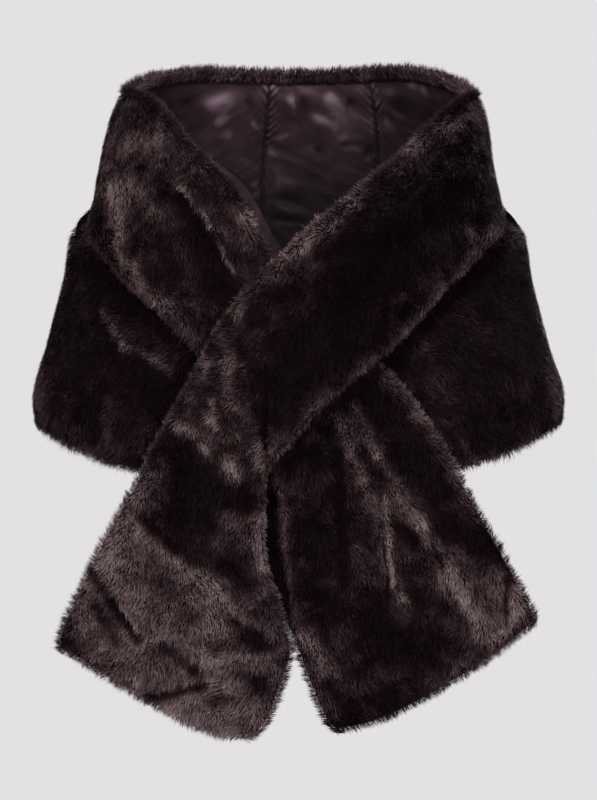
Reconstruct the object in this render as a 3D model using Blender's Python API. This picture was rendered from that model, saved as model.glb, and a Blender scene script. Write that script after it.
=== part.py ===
"""Plush faux-fur stole, worn: a deep back, two front drapes and two bands that cross into hanging tails."""

import bpy
import bmesh
import numpy as np

# Sizes in millimetres, in the part's frame: x to the viewer's right, y to the back, z up from the shoulders.
MM = 0.001
FUR_WALL = 13.0  # pile and backing together
LINING_WALL = 1.2
SEAM_GAP = 0.3
LAYER_GAP = 4.2  # between a band and the drape tucked behind it
SEAM_LAYER_GAP = 2.5  # more room there, where the drape leaves the side seam
SEAM_Y = 10.0  # the side seams lie in this plane
RIM_DROP = 15.0  # from the top of the fur to the lining's edge
UNDER_LIMIT_Y = -137.0  # the drapes stay behind this plane, and so behind the tails
BACK_ROUNDNESS = 2.35  # exponent of the back's plan, 2 is an ellipse
TAIL_BOW = 15.0  # how far a tail's end stands past its corners
TAIL_CORNER = 15.0

# Side and back outline of the worn cape, from the rim down.
# Columns: height, half width, depth of the back, centre in x.
OUTLINE = (
    (78, 168, 114, 2),
    (45, 186, 124, 1),
    (4, 201, 138, 0),
    (-43, 209, 148, -2),
    (-82, 217, 153, -1),
    (-104, 234, 156, -1),
    (-160, 247, 159, -1),
    (-230, 265, 157, -1),
    (-288, 281, 153, 0),
    (-315, 278, 150, 0),
    (-345, 262, 146, 0),
)

# Top rim and hem of the back, by the share of the way from the left side seam to the right one.
# Columns: share, height of the rim, height of the hem.
BACK_EDGES = (
    (0.00, 44, -320),
    (0.12, 62, -334),
    (0.26, 72, -340),
    (0.50, 72, -336),
    (0.74, 73, -339),
    (0.88, 60, -332),
    (1.00, 40, -316),
)

# A section of a band or tail runs from its neck edge to its other edge. The crown lifts its middle.
# Columns: neck edge's x, y and z, other edge's x, y and z, crown.
LEFT_BAND = (
    (-178, 10, 46, -214, 10, -82, 12),
    (-156, -20, 34, -220, -24, -118, 13),
    (-132, -52, 9, -202, -58, -149, 13),
    (-110, -86, -23, -173, -94, -180, 13),
    (-85, -112, -47, -147, -118, -202, 12),
    (-60, -130, -76, -125, -136, -224, 10),
    (-38, -145, -122, -106, -148, -243, 8),
    (-12, -151, -163, -84, -155, -268, 6),
    (14, -154, -200, -57, -157, -300, 4),
    (46, -154, -228, -38, -156, -322, 3),
)
RIGHT_TAIL = (
    (77, -154, -248, -42, -157, -352, 2),
    (99, -154, -268, -47, -156, -381, 1),
    (124, -154, -303, -48, -153, -416, 1),
    (149, -152, -343, -43, -149, -451, 1),
    (176, -150, -390, -30, -145, -492, 1),
    (204, -148, -440, -8, -142, -536, 1),
    (227, -146, -480, 8, -141, -580, 1),
    (251, -145, -522, 39, -142, -646, 1),
)
RIGHT_BAND = (
    (187, 10, 41, 213, 10, -78, 12),
    (163, -20, 28, 217, -26, -108, 13),
    (129, -54, -4, 192, -66, -142, 13),
    (100, -88, -36, 158, -104, -174, 13),
    (72, -116, -60, 124, -136, -212, 12),
    (42, -140, -86, 96, -158, -240, 10),
    (11, -160, -112, 66, -173, -265, 8),
    (-17, -173, -140, 34, -180, -290, 6),
    (-42, -179, -164, 4, -182, -322, 4),
    (-66, -181, -193, -27, -181, -358, 3),
)
LEFT_TAIL = (
    (-86, -179, -222, -33, -179, -378, 2),
    (-104, -176, -258, -35, -177, -402, 2),
    (-128, -172, -304, -35, -174, -430, 1),
    (-160, -168, -366, -30, -169, -458, 1),
    (-193, -163, -425, -20, -165, -486, 1),
    (-218, -158, -476, -10, -162, -517, 1),
    (-238, -154, -517, -3, -160, -545, 1),
    (-245, -151, -533, -18, -156, -591, 1),
    (-250, -149, -542, -46, -150, -658, 1),
)

# A drape's hem, with the fullest point of its section given as a share of the way down and a push outwards.
# Columns: hem's x, y and z, share of the way down to the fullest point, push outwards there.
LEFT_DRAPE = (
    (-279, 10, -320, 0.55, 14),
    (-269, -28, -326, 0.55, 16),
    (-249, -60, -337, 0.54, 18),
    (-222, -88, -349, 0.52, 18),
    (-194, -108, -359, 0.50, 16),
    (-165, -122, -366, 0.50, 12),
    (-134, -130, -368, 0.50, 8),
    (-104, -133, -362, 0.50, 4),
)
RIGHT_DRAPE = (
    (280, 10, -316, 0.55, 14),
    (270, -28, -323, 0.55, 16),
    (250, -60, -332, 0.54, 18),
    (222, -88, -346, 0.52, 18),
    (194, -108, -356, 0.50, 16),
    (165, -122, -364, 0.50, 12),
    (134, -130, -368, 0.50, 8),
    (102, -134, -366, 0.50, 4),
)
TUCK_AT_SEAM = 9.0  # how far a drape is tucked up behind its band at the side seam
TUCK_IN_FRONT = 42.0
TUCK_REACH = 70.0  # the way along the band in which the one becomes the other
SEAM_MATCH_REACH = 85.0  # the way in which a front piece leaves the back's outline
SEAM_LEVEL_REACH = 20.0  # the way in which its cut edge turns out of the seam's plane
EMERGE_SHARE = 0.2  # share of a drape's section that the tuck takes
MATCH_SHARE = 0.06  # past the tuck, a drape meets the back's outline within this share
FOLD_START_SHARE = 0.12
CALM_SHARE = EMERGE_SHARE + FOLD_START_SHARE  # a drape's folds start below this
RIM_PLACES = (0.0, 2.0, 6.5)  # rows that round an edge, from the edge inwards
BACK_CLOSE_TOP = RIM_PLACES + (RIM_DROP,)
HEM_DROP = 14.0  # from the lining's lower edge to the hem
BACK_CLOSE_HEM = RIM_PLACES + (HEM_DROP,)
BACK_DROP, DRAPE_DROP = 410.0, 260.0  # about how far the back and the drapes fall

# The largest folds, as lines seen from the front or the back. A height below 0 is a trough.
# Columns: from x and z, to x and z, height, half width.
FOLDS = {
    "left_band": (
        (-121, -58, -64, -155, 7, 15),
        (-88, -62, -58, -118, -5, 10),
        (-168, -70, -118, -180, -5, 15),
    ),
    "right_band": (
        (160, -50, 52, -140, 5, 17),
        (150, -92, 40, -205, -5, 14),
        (96, -196, -4, -270, 4, 16),
    ),
    "right_tail": (
        (-34, -365, -6, -520, -6, 9),
        (26, -300, 40, -455, -6, 12),
        (48, -300, 98, -365, 4, 12),
        (98, -365, 104, -455, 6, 13),
        (66, -340, 78, -520, -5, 12),
        (121, -395, 182, -535, 6, 16),
        (118, -440, 140, -570, -5, 14),
        (213, -485, 205, -540, 4, 9),
    ),
    "left_tail": (
        (-92, -290, -72, -420, 4, 20),
        (-150, -400, -128, -590, -4, 18),
        (-58, -450, -84, -610, 5, 20),
        (-196, -450, -186, -560, 3, 16),
    ),
    "left_drape": (
        (-197, -190, -118, -256, 6, 15),
        (-205, -230, -150, -300, -5, 15),
        (-250, -250, -240, -330, 3, 14),
    ),
    "right_drape": (
        (190, -175, 120, -250, 5, 15),
        (206, -240, 170, -320, -4, 15),
        (252, -250, 240, -330, 3, 14),
    ),
    "back_panel": (
        (-120, -150, -150, -345, 5, 26),
        (-40, -190, -52, -345, -5, 24),
        (48, -170, 58, -345, 5, 26),
        (128, -170, 150, -345, -5, 24),
    ),
}

# The back's lining is in three panels, and the left band's shows a lip past the fur's edge.
BACK_LININGS = ("lining_back_left", "lining_back_centre", "lining_back_right")
LINING_SEAMS_X = (-38.0, 89.0)
FRONT_LINING_COLUMNS = 8
# Columns: section, distance past the edge.
LINING_LIP = (
    (0.0, -9.0),
    (2.0, -7.0),
    (3.3, 0.0),
    (4.5, 8.0),
    (5.8, 16.0),
    (7.5, 16.0),
    (9.0, 8.0),
)

FUR_FINISH = {"colour": (0.045, 0.026, 0.028, 1.0), "roughness": 0.75, "sheen": 0.6}
SATIN_FINISH = {"colour": (0.075, 0.042, 0.052, 1.0), "roughness": 0.32, "sheen": 0.2}


def unit(vectors):
    return vectors / np.linalg.norm(vectors, axis=-1, keepdims=True)


def smooth(share):
    share = np.clip(share, 0.0, 1.0)
    return share * share * (3.0 - 2.0 * share)


def through(knots, rows, at):
    """A smooth curve through the rows of a table, read at places along its knots."""
    knots = np.asarray(knots, float)
    rows = np.asarray(rows, float)
    at = np.asarray(at, float)
    slopes = np.gradient(rows, knots, axis=0)
    first = np.clip(np.searchsorted(knots, at, side="right") - 1, 0, len(knots) - 2)
    span = knots[first + 1] - knots[first]
    t = ((at - knots[first]) / span)[..., None]
    span = span[..., None]
    return (
        rows[first] * (2 * t**3 - 3 * t**2 + 1)
        + slopes[first] * span * (t**3 - 2 * t**2 + t)
        + rows[first + 1] * (3 * t**2 - 2 * t**3)
        + slopes[first + 1] * span * (t**3 - t**2)
    )


def outline_at(height):
    """Half width, back depth and centre of the cape at this height."""
    table = np.array(OUTLINE[::-1], float)
    return through(table[:, 0], table[:, 1:], height)


def back_point(share, height):
    """A point of the cape's outer face, from the left side seam round the back to the right one."""
    width, depth, centre = np.moveaxis(outline_at(height), -1, 0)
    angle = np.pi * share
    power = 2.0 / BACK_ROUNDNESS
    cosine, sine = np.cos(angle), np.sin(angle)
    x = centre - width * np.sign(cosine) * np.abs(cosine) ** power
    y = SEAM_Y + (depth - SEAM_Y) * np.abs(sine) ** power
    return np.stack([x, y, height + 0.0 * x], axis=-1)


def lengths_between(points):
    """Millimetres walked to each point of a row of points."""
    steps = np.linalg.norm(np.diff(points, axis=0), axis=1)
    return np.concatenate([[0.0], np.cumsum(steps)])


def back_surface():
    """The back as a function of s, millimetres round it from the left seam, and v, from rim to hem."""
    edges = np.array(BACK_EDGES, float)
    shares = np.linspace(0.0, 1.0, 181)
    walked = lengths_between(back_point(shares, np.full_like(shares, -120.0)))

    def point(s, v):
        share = np.interp(s, walked, shares)
        rim, hem = np.moveaxis(through(edges[:, 0], edges[:, 1:], share), -1, 0)
        return back_point(share, rim + (hem - rim) * v)

    return point, walked[-1]


def band_surface(rows, side):
    """A band and its tail as a function of s, millimetres along it, and v, from neck edge to other edge."""
    rows = np.array(rows, float)
    knots = lengths_between((rows[:, 0:3] + rows[:, 3:6]) / 2)
    total = knots[-1]

    def width(s):
        row = through(knots, rows, s)
        return np.linalg.norm(row[..., 3:6] - row[..., 0:3], axis=-1)

    def ruled(s, v):
        row = through(knots, rows, s)
        return row[..., 0:3] + (row[..., 3:6] - row[..., 0:3]) * v[..., None]

    def crowned(s, v):
        along = ruled(s + 4.0, v) - ruled(s - 4.0, v)
        across = ruled(s, v + 0.02) - ruled(s, v - 0.02)
        crown = through(knots, rows[:, 6:7], s) * (4.0 * v * (1.0 - v))[..., None]
        return ruled(s, v) + side * unit(np.cross(along, across)) * crown

    def point(s, v):
        s = s - TAIL_BOW * np.abs(2.0 * v - 1.0) ** 3 * smooth(2.0 * s / total - 1.0)
        turned = np.clip((s - total + TAIL_BOW + TAIL_CORNER) / TAIL_CORNER, 0.0, 0.9)
        pulled = TAIL_CORNER * (1.0 - np.sqrt(1.0 - turned**2))
        v = 0.5 + (v - 0.5) * (1.0 - 2.0 * pulled / width(s))
        seam_height = rows[0, 2] + (rows[0, 5] - rows[0, 2]) * v
        seam = back_point(np.full_like(v, 0.5 + 0.5 * side), seam_height)
        off_seam = seam - crowned(np.zeros_like(v), v)
        return crowned(s, v) + off_seam * smooth(1.0 - s / SEAM_MATCH_REACH)[..., None]

    return point, width, knots


def drape_surface(band, band_width, knots, band_folds, rows, side):
    """A front drape: tucked up behind its band's lower edge, it falls from there to its own hem."""
    rows = np.array(rows, float)
    knots = knots[: len(rows)]

    def behind(s, v):
        points = band(s, v)
        gap = LAYER_GAP + SEAM_LAYER_GAP * smooth(1.0 - s / TUCK_REACH)
        sunk = fold_heights(points, band_folds) - FUR_WALL - gap
        points = points + face_normals(band, side, s, v) * sunk[..., None]
        y = points[..., 1] - UNDER_LIMIT_Y
        points[..., 1] = UNDER_LIMIT_Y + 0.5 * (y + np.sqrt(y * y + 9.0))
        return points

    def section(s, v):
        tuck = TUCK_AT_SEAM + (TUCK_IN_FRONT - TUCK_AT_SEAM) * smooth(s / TUCK_REACH)
        tucked = behind(s, 1.0 - tuck / band_width(s) * np.clip(1.0 - v / EMERGE_SHARE, 0.0, 1.0))
        row = through(knots, rows, s)
        hem = row[..., 0:3]
        leaving = behind(s, np.ones_like(s))
        outward = unit(hem * np.array([0.6, 1.0, 0.0]))
        full = leaving + (hem - leaving) * row[..., 3:4] + outward * row[..., 4:5]
        t = np.clip((v - EMERGE_SHARE) / (1.0 - EMERGE_SHARE), 0.0, 1.0)[..., None]
        pull = 2.0 * full - 0.5 * (leaving + hem)
        falling = leaving * (1.0 - t) ** 2 + pull * 2.0 * t * (1.0 - t) + hem * t**2
        return np.where((v < EMERGE_SHARE)[..., None], tucked, falling)

    def point(s, v):
        start = section(np.zeros_like(s), v)
        seam = back_point(np.full_like(v, 0.5 + 0.5 * side), start[..., 2])
        off_seam = seam - start
        below_band = smooth((v - EMERGE_SHARE) / MATCH_SHARE)
        off_seam[..., 0] *= below_band
        off_seam[..., 2] *= below_band
        return section(s, v) + off_seam * smooth(1.0 - s / SEAM_MATCH_REACH)[..., None]

    return point, knots[-1]


def face_normals(surface, side, s, v, seams=()):
    """Outward directions of a surface, level with the seam's plane where a side seam is near."""
    along = surface(s + 2.0, v) - surface(s - 2.0, v)
    across = surface(s, v + 0.01) - surface(s, v - 0.01)
    normals = side * unit(np.cross(along, across))
    for seam in seams:
        normals[..., 1] *= smooth(np.abs(s - seam) / SEAM_LEVEL_REACH)
    return unit(normals)


def fold_heights(points, folds):
    """How far the folds of a piece lift these points off its plain surface."""
    lift = np.zeros(points.shape[:-1])
    for from_x, from_z, to_x, to_z, height, half_width in folds:
        start = np.array([from_x, from_z], float)
        line = np.array([to_x - from_x, to_z - from_z], float)
        offset = points[..., [0, 2]] - start
        share = np.clip(offset @ line / (line @ line), 0.0, 1.0)
        distance = np.linalg.norm(offset - share[..., None] * line, axis=-1)
        fade = smooth(np.minimum(share, 1.0 - share) * 4.0 + 0.25)
        lift += height * fade * np.exp(-((distance / half_width) ** 2))
    return lift


def spaced(length, count, close_start, close_end):
    """Places along a length: close rows near an edge that is rounded or lined, and even ones between."""
    start = close_start or (0.0,)
    end = tuple(length - place for place in reversed(close_end or (0.0,)))
    inner = np.linspace(start[-1], end[0], count + 1)[1:-1]
    return np.concatenate([start, inner, end])


def grid_places(sheet):
    """The places, in s and v, of a wall's grid, and how deep each lies in a rounded rim."""
    rim = sheet["wall"] / 2
    start, end = sheet["reach"]
    stops = (start,) + sheet["breaks"] + (end,)
    s_places = [start]
    for low, high in zip(stops[:-1], stops[1:]):
        close_end = sheet["close_s"] if high == end else ()
        count = max(2, round(sheet["rows_s"] * (high - low) / (end - start)))
        s_places.extend(low + spaced(high - low, count, (), close_end)[1:])
    s_places = np.array(s_places)
    breadth = sheet["width"](s_places)[:, None]
    across = np.array([spaced(b, sheet["rows_v"], *sheet["close_v"]) for b in breadth[:, 0]])
    s = np.repeat(s_places[:, None], across.shape[1], axis=1)
    round_top, round_bottom = (bool(close) for close in sheet["close_v"])
    in_s = np.clip(rim - (end - s), 0.0, rim) * bool(sheet["close_s"])
    in_v = np.clip(rim - across, 0.0, rim) * round_top
    in_v += np.clip(rim - breadth + across, 0.0, rim) * round_bottom
    in_rim = np.clip(np.hypot(in_s, in_v), 0.0, 0.98 * rim)
    return s, across / breadth, rim - np.sqrt(rim**2 - in_rim**2)


def wall_faces(sheet, s, v, outer_depth, inner_depth):
    """The two faces of a wall, at these depths under the sheet's folded surface."""
    points = sheet["surface"](s, v)
    normals = face_normals(sheet["surface"], sheet["side"], s, v, sheet["seams"])
    started = smooth((v - sheet["calm_v"]) / FOLD_START_SHARE + 1.0)
    lift = fold_heights(points, sheet["folds"]) * started
    return (
        points + normals * (lift - outer_depth)[..., None],
        points + normals * (lift - inner_depth)[..., None],
    )


def fur_faces(sheet):
    s, v, rim_depth = grid_places(sheet)
    return wall_faces(sheet, s, v, rim_depth, FUR_WALL - rim_depth)


def lining_faces(sheet, s, v):
    near = np.full_like(s, FUR_WALL + SEAM_GAP)
    return wall_faces(sheet, s, v, near, near + LINING_WALL)


def back_lining_faces(sheet, low, high):
    """A panel of the back's lining, between two of its seams, on the same grid as the fur behind it."""
    s, v, _ = grid_places(sheet)
    columns = slice(len(BACK_CLOSE_TOP) - 1, v.shape[1] - len(BACK_CLOSE_HEM) + 1)
    chosen = (s[:, 0] >= low - 1.0) & (s[:, 0] <= high + 1.0)
    s, v = s[chosen][:, columns].copy(), v[chosen][:, columns]
    s[0] = low + SEAM_GAP / 2
    s[-1] = high - SEAM_GAP / 2
    return lining_faces(sheet, s, v)


def front_lining_faces(sheet, knots):
    """The left band's lining, whose upper edge shows past the fur as it nears the crossing."""
    s, v, _ = grid_places(sheet)
    s, v = s[:, :FRONT_LINING_COLUMNS], v[:, :FRONT_LINING_COLUMNS].copy()
    rows = np.array(LINING_LIP, float)
    section = np.interp(s[:, 0], knots, np.arange(len(knots)))
    lip = through(rows[:, 0], rows[:, 1:], section)[:, 0] / sheet["width"](s[:, 0])
    v[:, 0] = -lip
    v[:, 1] = -0.5 * lip
    return lining_faces(sheet, s, v)


def closed_wall(name, outer, inner, material):
    """Two grids, the outer and inner faces of a wall, bridged round their edges into one solid."""
    mesh = bpy.data.meshes.new(name)
    body = bmesh.new()
    rows, columns = outer.shape[:2]
    for face_points in (outer, inner):
        made = bmesh.ops.create_grid(body, x_segments=columns - 1, y_segments=rows - 1, size=1.0)
        for vertex, place in zip(made["verts"], face_points.reshape(-1, 3)):
            vertex.co = place * MM
    rims = [edge for edge in body.edges if edge.is_boundary]
    bmesh.ops.bridge_loops(body, edges=rims)
    bmesh.ops.recalc_face_normals(body, faces=body.faces)
    body.to_mesh(mesh)
    body.free()
    mesh.shade_smooth()
    mesh.materials.append(material)
    return bpy.data.objects.new(name, mesh)


def make_material(name, colour, roughness, sheen):
    material = bpy.data.materials.new(name)
    material.use_nodes = True
    shader = material.node_tree.nodes["Principled BSDF"]
    shader.inputs["Base Color"].default_value = colour
    shader.inputs["Roughness"].default_value = roughness
    shader.inputs["Metallic"].default_value = 0.0
    shader.inputs["Sheen Weight"].default_value = sheen
    material.diffuse_color = colour
    return material


def fur_sheet(name, surface, side, reach, width, rows, **options):
    """What a fur wall is worked out from."""
    sheet = {
        "surface": surface,
        "side": side,
        "reach": reach,
        "width": width,
        "rows_s": rows[0],
        "rows_v": rows[1],
        "folds": FOLDS[name],
        "wall": FUR_WALL,
        "breaks": (),
        "close_s": (),
        "close_v": (RIM_PLACES, RIM_PLACES),
        "seams": (),
        "calm_v": -1.0,
    }
    sheet.update(options)
    return sheet


def back_seam_place(surface, length, x):
    """How far round the back the lining seam at this x lies."""
    places = np.linspace(0.2 * length, 0.8 * length, 201)
    return float(np.interp(x, surface(places, np.full_like(places, 0.2))[:, 0], places))


def build_pieces():
    """The outer and inner faces of every piece, by name."""
    half_gap = SEAM_GAP / 2
    back, back_length = back_surface()
    under, under_width, under_knots = band_surface(LEFT_BAND + RIGHT_TAIL, -1)
    over, over_width, over_knots = band_surface(RIGHT_BAND + LEFT_TAIL, 1)
    left, left_length = drape_surface(
        under, under_width, under_knots, FOLDS["left_band"], LEFT_DRAPE, -1
    )
    right, right_length = drape_surface(
        over, over_width, over_knots, FOLDS["right_band"], RIGHT_DRAPE, 1
    )
    under_split = under_knots[len(LEFT_BAND) - 1]
    over_split = over_knots[len(RIGHT_BAND) - 1]
    lining_seams = tuple(back_seam_place(back, back_length, x) for x in LINING_SEAMS_X)

    def back_drop(s):
        return np.full_like(s, BACK_DROP)

    def drape_drop(s):
        return np.full_like(s, DRAPE_DROP)

    back_sheet = fur_sheet(
        "back_panel", back, 1, (half_gap, back_length - half_gap), back_drop, (33, 12),
        breaks=lining_seams, close_v=(BACK_CLOSE_TOP, BACK_CLOSE_HEM), seams=(0.0, back_length),
    )
    left_band_sheet = fur_sheet(
        "left_band", under, -1, (half_gap, under_split - half_gap), under_width, (16, 8), seams=(0.0,)
    )
    sheets = {
        "back_panel": back_sheet,
        "left_band": left_band_sheet,
        "right_band": fur_sheet(
            "right_band", over, 1, (half_gap, over_split - half_gap), over_width, (17, 8), seams=(0.0,)
        ),
        "right_tail": fur_sheet(
            "right_tail", under, -1, (under_split + half_gap, under_knots[-1]), under_width, (16, 11),
            close_s=RIM_PLACES,
        ),
        "left_tail": fur_sheet(
            "left_tail", over, 1, (over_split + half_gap, over_knots[-1]), over_width, (16, 10),
            close_s=RIM_PLACES,
        ),
        "left_drape": fur_sheet(
            "left_drape", left, -1, (half_gap, left_length), drape_drop, (12, 9),
            close_s=RIM_PLACES, seams=(0.0,), calm_v=CALM_SHARE,
        ),
        "right_drape": fur_sheet(
            "right_drape", right, 1, (half_gap, right_length), drape_drop, (12, 9),
            close_s=RIM_PLACES, seams=(0.0,), calm_v=CALM_SHARE,
        ),
    }
    pieces = {name: fur_faces(sheet) for name, sheet in sheets.items()}
    bounds = (0.0,) + lining_seams + (back_length,)
    for name, low, high in zip(BACK_LININGS, bounds[:-1], bounds[1:]):
        pieces[name] = back_lining_faces(back_sheet, low, high)
    pieces["lining_left_band"] = front_lining_faces(left_band_sheet, under_knots)
    return pieces


def clear_scene():
    for old in list(bpy.data.objects):
        bpy.data.objects.remove(old, do_unlink=True)


def main():
    clear_scene()
    stole = bpy.data.collections.new("faux_fur_stole")
    bpy.context.scene.collection.children.link(stole)
    for name, (outer, inner) in build_pieces().items():
        finish = SATIN_FINISH if name.startswith("lining") else FUR_FINISH
        material = make_material(name + "_cloth", **finish)
        stole.objects.link(closed_wall(name, outer, inner, material))


main()
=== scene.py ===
"""Looks of the faux-fur stole: plush pile over its cloth, creased satin lining, camera and studio light."""

import bpy
import numpy as np
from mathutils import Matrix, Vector


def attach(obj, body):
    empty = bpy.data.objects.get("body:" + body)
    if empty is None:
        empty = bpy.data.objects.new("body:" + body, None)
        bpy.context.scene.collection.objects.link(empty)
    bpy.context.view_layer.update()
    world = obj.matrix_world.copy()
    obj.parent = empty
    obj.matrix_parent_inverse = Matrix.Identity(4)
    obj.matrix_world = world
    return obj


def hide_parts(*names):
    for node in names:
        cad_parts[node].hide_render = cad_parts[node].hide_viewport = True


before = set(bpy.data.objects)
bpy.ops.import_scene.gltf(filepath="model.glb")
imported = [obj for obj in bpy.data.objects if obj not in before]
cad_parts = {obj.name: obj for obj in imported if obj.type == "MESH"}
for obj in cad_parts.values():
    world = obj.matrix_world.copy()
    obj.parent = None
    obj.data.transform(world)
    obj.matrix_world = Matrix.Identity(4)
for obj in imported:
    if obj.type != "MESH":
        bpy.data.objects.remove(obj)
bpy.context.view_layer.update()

# Sizes in millimetres, in the part's frame: x to the viewer's right, y to the back, z up from the shoulders.
MM = 0.001
FUR_WALL = 13.0
LINING_WALL = 1.2
SEAM_GAP = 0.3
LAYER_GAP = 4.2
SEAM_LAYER_GAP = 2.5
SEAM_Y = 10.0
RIM_DROP = 15.0
HEM_DROP = 14.0
UNDER_LIMIT_Y = -137.0
UNDER_LIMIT_BEND = 3.0
BACK_ROUNDNESS = 2.35
BACK_PACING_HEIGHT = -120.0  # millimetres round the back are counted here
BACK_PLACES = 181
TAIL_BOW = 15.0
TAIL_CORNER = 15.0
MOST_TURNED = 0.9  # share of a tail's rounded corner that is built

# Side and back outline of the worn cape, from the rim down.
# Columns: height, half width, depth of the back, centre in x.
OUTLINE = (
    (78, 168, 114, 2),
    (45, 186, 124, 1),
    (4, 201, 138, 0),
    (-43, 209, 148, -2),
    (-82, 217, 153, -1),
    (-104, 234, 156, -1),
    (-160, 247, 159, -1),
    (-230, 265, 157, -1),
    (-288, 281, 153, 0),
    (-315, 278, 150, 0),
    (-345, 262, 146, 0),
)

# Columns: share of the way from the left side seam to the right one, height of the rim, height of the hem.
BACK_EDGES = (
    (0.00, 44, -320),
    (0.12, 62, -334),
    (0.26, 72, -340),
    (0.50, 72, -336),
    (0.74, 73, -339),
    (0.88, 60, -332),
    (1.00, 40, -316),
)

# A section of a band or tail runs from its neck edge to its other edge. The crown lifts its middle.
# Columns: neck edge's x, y and z, other edge's x, y and z, crown.
LEFT_BAND = (
    (-178, 10, 46, -214, 10, -82, 12),
    (-156, -20, 34, -220, -24, -118, 13),
    (-132, -52, 9, -202, -58, -149, 13),
    (-110, -86, -23, -173, -94, -180, 13),
    (-85, -112, -47, -147, -118, -202, 12),
    (-60, -130, -76, -125, -136, -224, 10),
    (-38, -145, -122, -106, -148, -243, 8),
    (-12, -151, -163, -84, -155, -268, 6),
    (14, -154, -200, -57, -157, -300, 4),
    (46, -154, -228, -38, -156, -322, 3),
)
RIGHT_TAIL = (
    (77, -154, -248, -42, -157, -352, 2),
    (99, -154, -268, -47, -156, -381, 1),
    (126, -154, -303, -48, -153, -416, 1),
    (152, -152, -343, -43, -149, -451, 1),
    (179, -150, -390, -30, -145, -492, 1),
    (207, -148, -440, -8, -142, -536, 1),
    (229, -146, -480, 8, -141, -580, 1),
    (251, -145, -522, 39, -142, -646, 1),
)
RIGHT_BAND = (
    (187, 10, 41, 213, 10, -78, 12),
    (163, -20, 28, 217, -26, -108, 13),
    (129, -54, -4, 192, -66, -142, 13),
    (100, -88, -36, 158, -104, -174, 13),
    (72, -116, -60, 124, -136, -212, 12),
    (42, -140, -86, 96, -158, -240, 10),
    (11, -160, -112, 66, -173, -265, 8),
    (-17, -173, -140, 34, -180, -290, 6),
    (-42, -179, -164, 4, -182, -322, 4),
    (-66, -181, -193, -27, -181, -358, 3),
)
LEFT_TAIL = (
    (-86, -179, -222, -33, -179, -378, 2),
    (-104, -176, -258, -35, -177, -402, 2),
    (-130, -172, -304, -35, -174, -430, 1),
    (-163, -168, -366, -30, -169, -458, 1),
    (-197, -163, -425, -20, -165, -486, 1),
    (-222, -158, -476, -10, -162, -517, 1),
    (-241, -154, -517, -3, -160, -545, 1),
    (-245, -151, -533, -18, -156, -591, 1),
    (-250, -149, -542, -46, -150, -658, 1),
)

# Columns: hem's x, y and z, share of the way down to the fullest point, push outwards there.
LEFT_DRAPE = (
    (-279, 10, -320, 0.55, 14),
    (-269, -28, -326, 0.55, 16),
    (-249, -60, -337, 0.54, 18),
    (-222, -88, -349, 0.52, 18),
    (-194, -108, -359, 0.50, 16),
    (-165, -122, -366, 0.50, 12),
    (-134, -130, -368, 0.50, 8),
    (-104, -133, -362, 0.50, 4),
)
RIGHT_DRAPE = (
    (280, 10, -316, 0.55, 14),
    (270, -28, -323, 0.55, 16),
    (250, -60, -332, 0.54, 18),
    (222, -88, -346, 0.52, 18),
    (194, -108, -356, 0.50, 16),
    (165, -122, -364, 0.50, 12),
    (134, -130, -368, 0.50, 8),
    (102, -134, -366, 0.50, 4),
)
TUCK_AT_SEAM = 9.0
TUCK_IN_FRONT = 42.0
TUCK_REACH = 70.0
SEAM_MATCH_REACH = 85.0
SEAM_LEVEL_REACH = 20.0
EMERGE_SHARE = 0.2
MATCH_SHARE = 0.06
FOLD_START_SHARE = 0.12
CALM_SHARE = EMERGE_SHARE + FOLD_START_SHARE
BACK_DROP, DRAPE_DROP = 410.0, 260.0
FALL_OUTWARD = (0.6, 1.0, 0.0)  # how much a drape's fullness leans to the side and to the front

# Small steps along and across a surface, from which its directions are worked out.
CROWN_STEPS = 4.0, 0.02
FACE_STEPS = 2.0, 0.01
# A fold eases in and out over less than a quarter of its length, from a start that already stands out.
FOLD_START, FOLD_RISE = 0.25, 4.0

# The largest folds, as lines seen from the front or the back. A height below 0 is a trough.
# Columns: from x and z, to x and z, height, half width.
FOLDS = {
    "left_band": (
        (-121, -58, -64, -155, 7, 15),
        (-88, -62, -58, -118, -5, 10),
        (-168, -70, -118, -180, -5, 15),
    ),
    "right_band": (
        (160, -50, 52, -140, 5, 17),
        (150, -92, 40, -205, -5, 14),
        (96, -196, -4, -270, 4, 16),
    ),
    "right_tail": (
        (-34, -365, -6, -520, -6, 9),
        (26, -300, 40, -455, -6, 12),
        (48, -300, 98, -365, 4, 12),
        (98, -365, 104, -455, 6, 13),
        (66, -340, 78, -520, -5, 12),
        (121, -395, 182, -535, 6, 16),
        (118, -440, 140, -570, -5, 14),
        (213, -485, 205, -540, 4, 9),
    ),
    "left_tail": (
        (-92, -290, -72, -420, 4, 20),
        (-150, -400, -128, -590, -4, 18),
        (-58, -450, -84, -610, 5, 20),
        (-196, -450, -186, -560, 3, 16),
    ),
    "left_drape": (
        (-197, -190, -118, -256, 6, 15),
        (-205, -230, -150, -300, -5, 15),
        (-250, -250, -240, -330, 3, 14),
    ),
    "right_drape": (
        (190, -175, 120, -250, 5, 15),
        (206, -240, 170, -320, -4, 15),
        (252, -250, 240, -330, 3, 14),
    ),
    "back_panel": (
        (-120, -150, -150, -345, 5, 26),
        (-40, -190, -52, -345, -5, 24),
        (48, -170, 58, -345, 5, 26),
        (128, -170, 150, -345, -5, 24),
    ),
}

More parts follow.
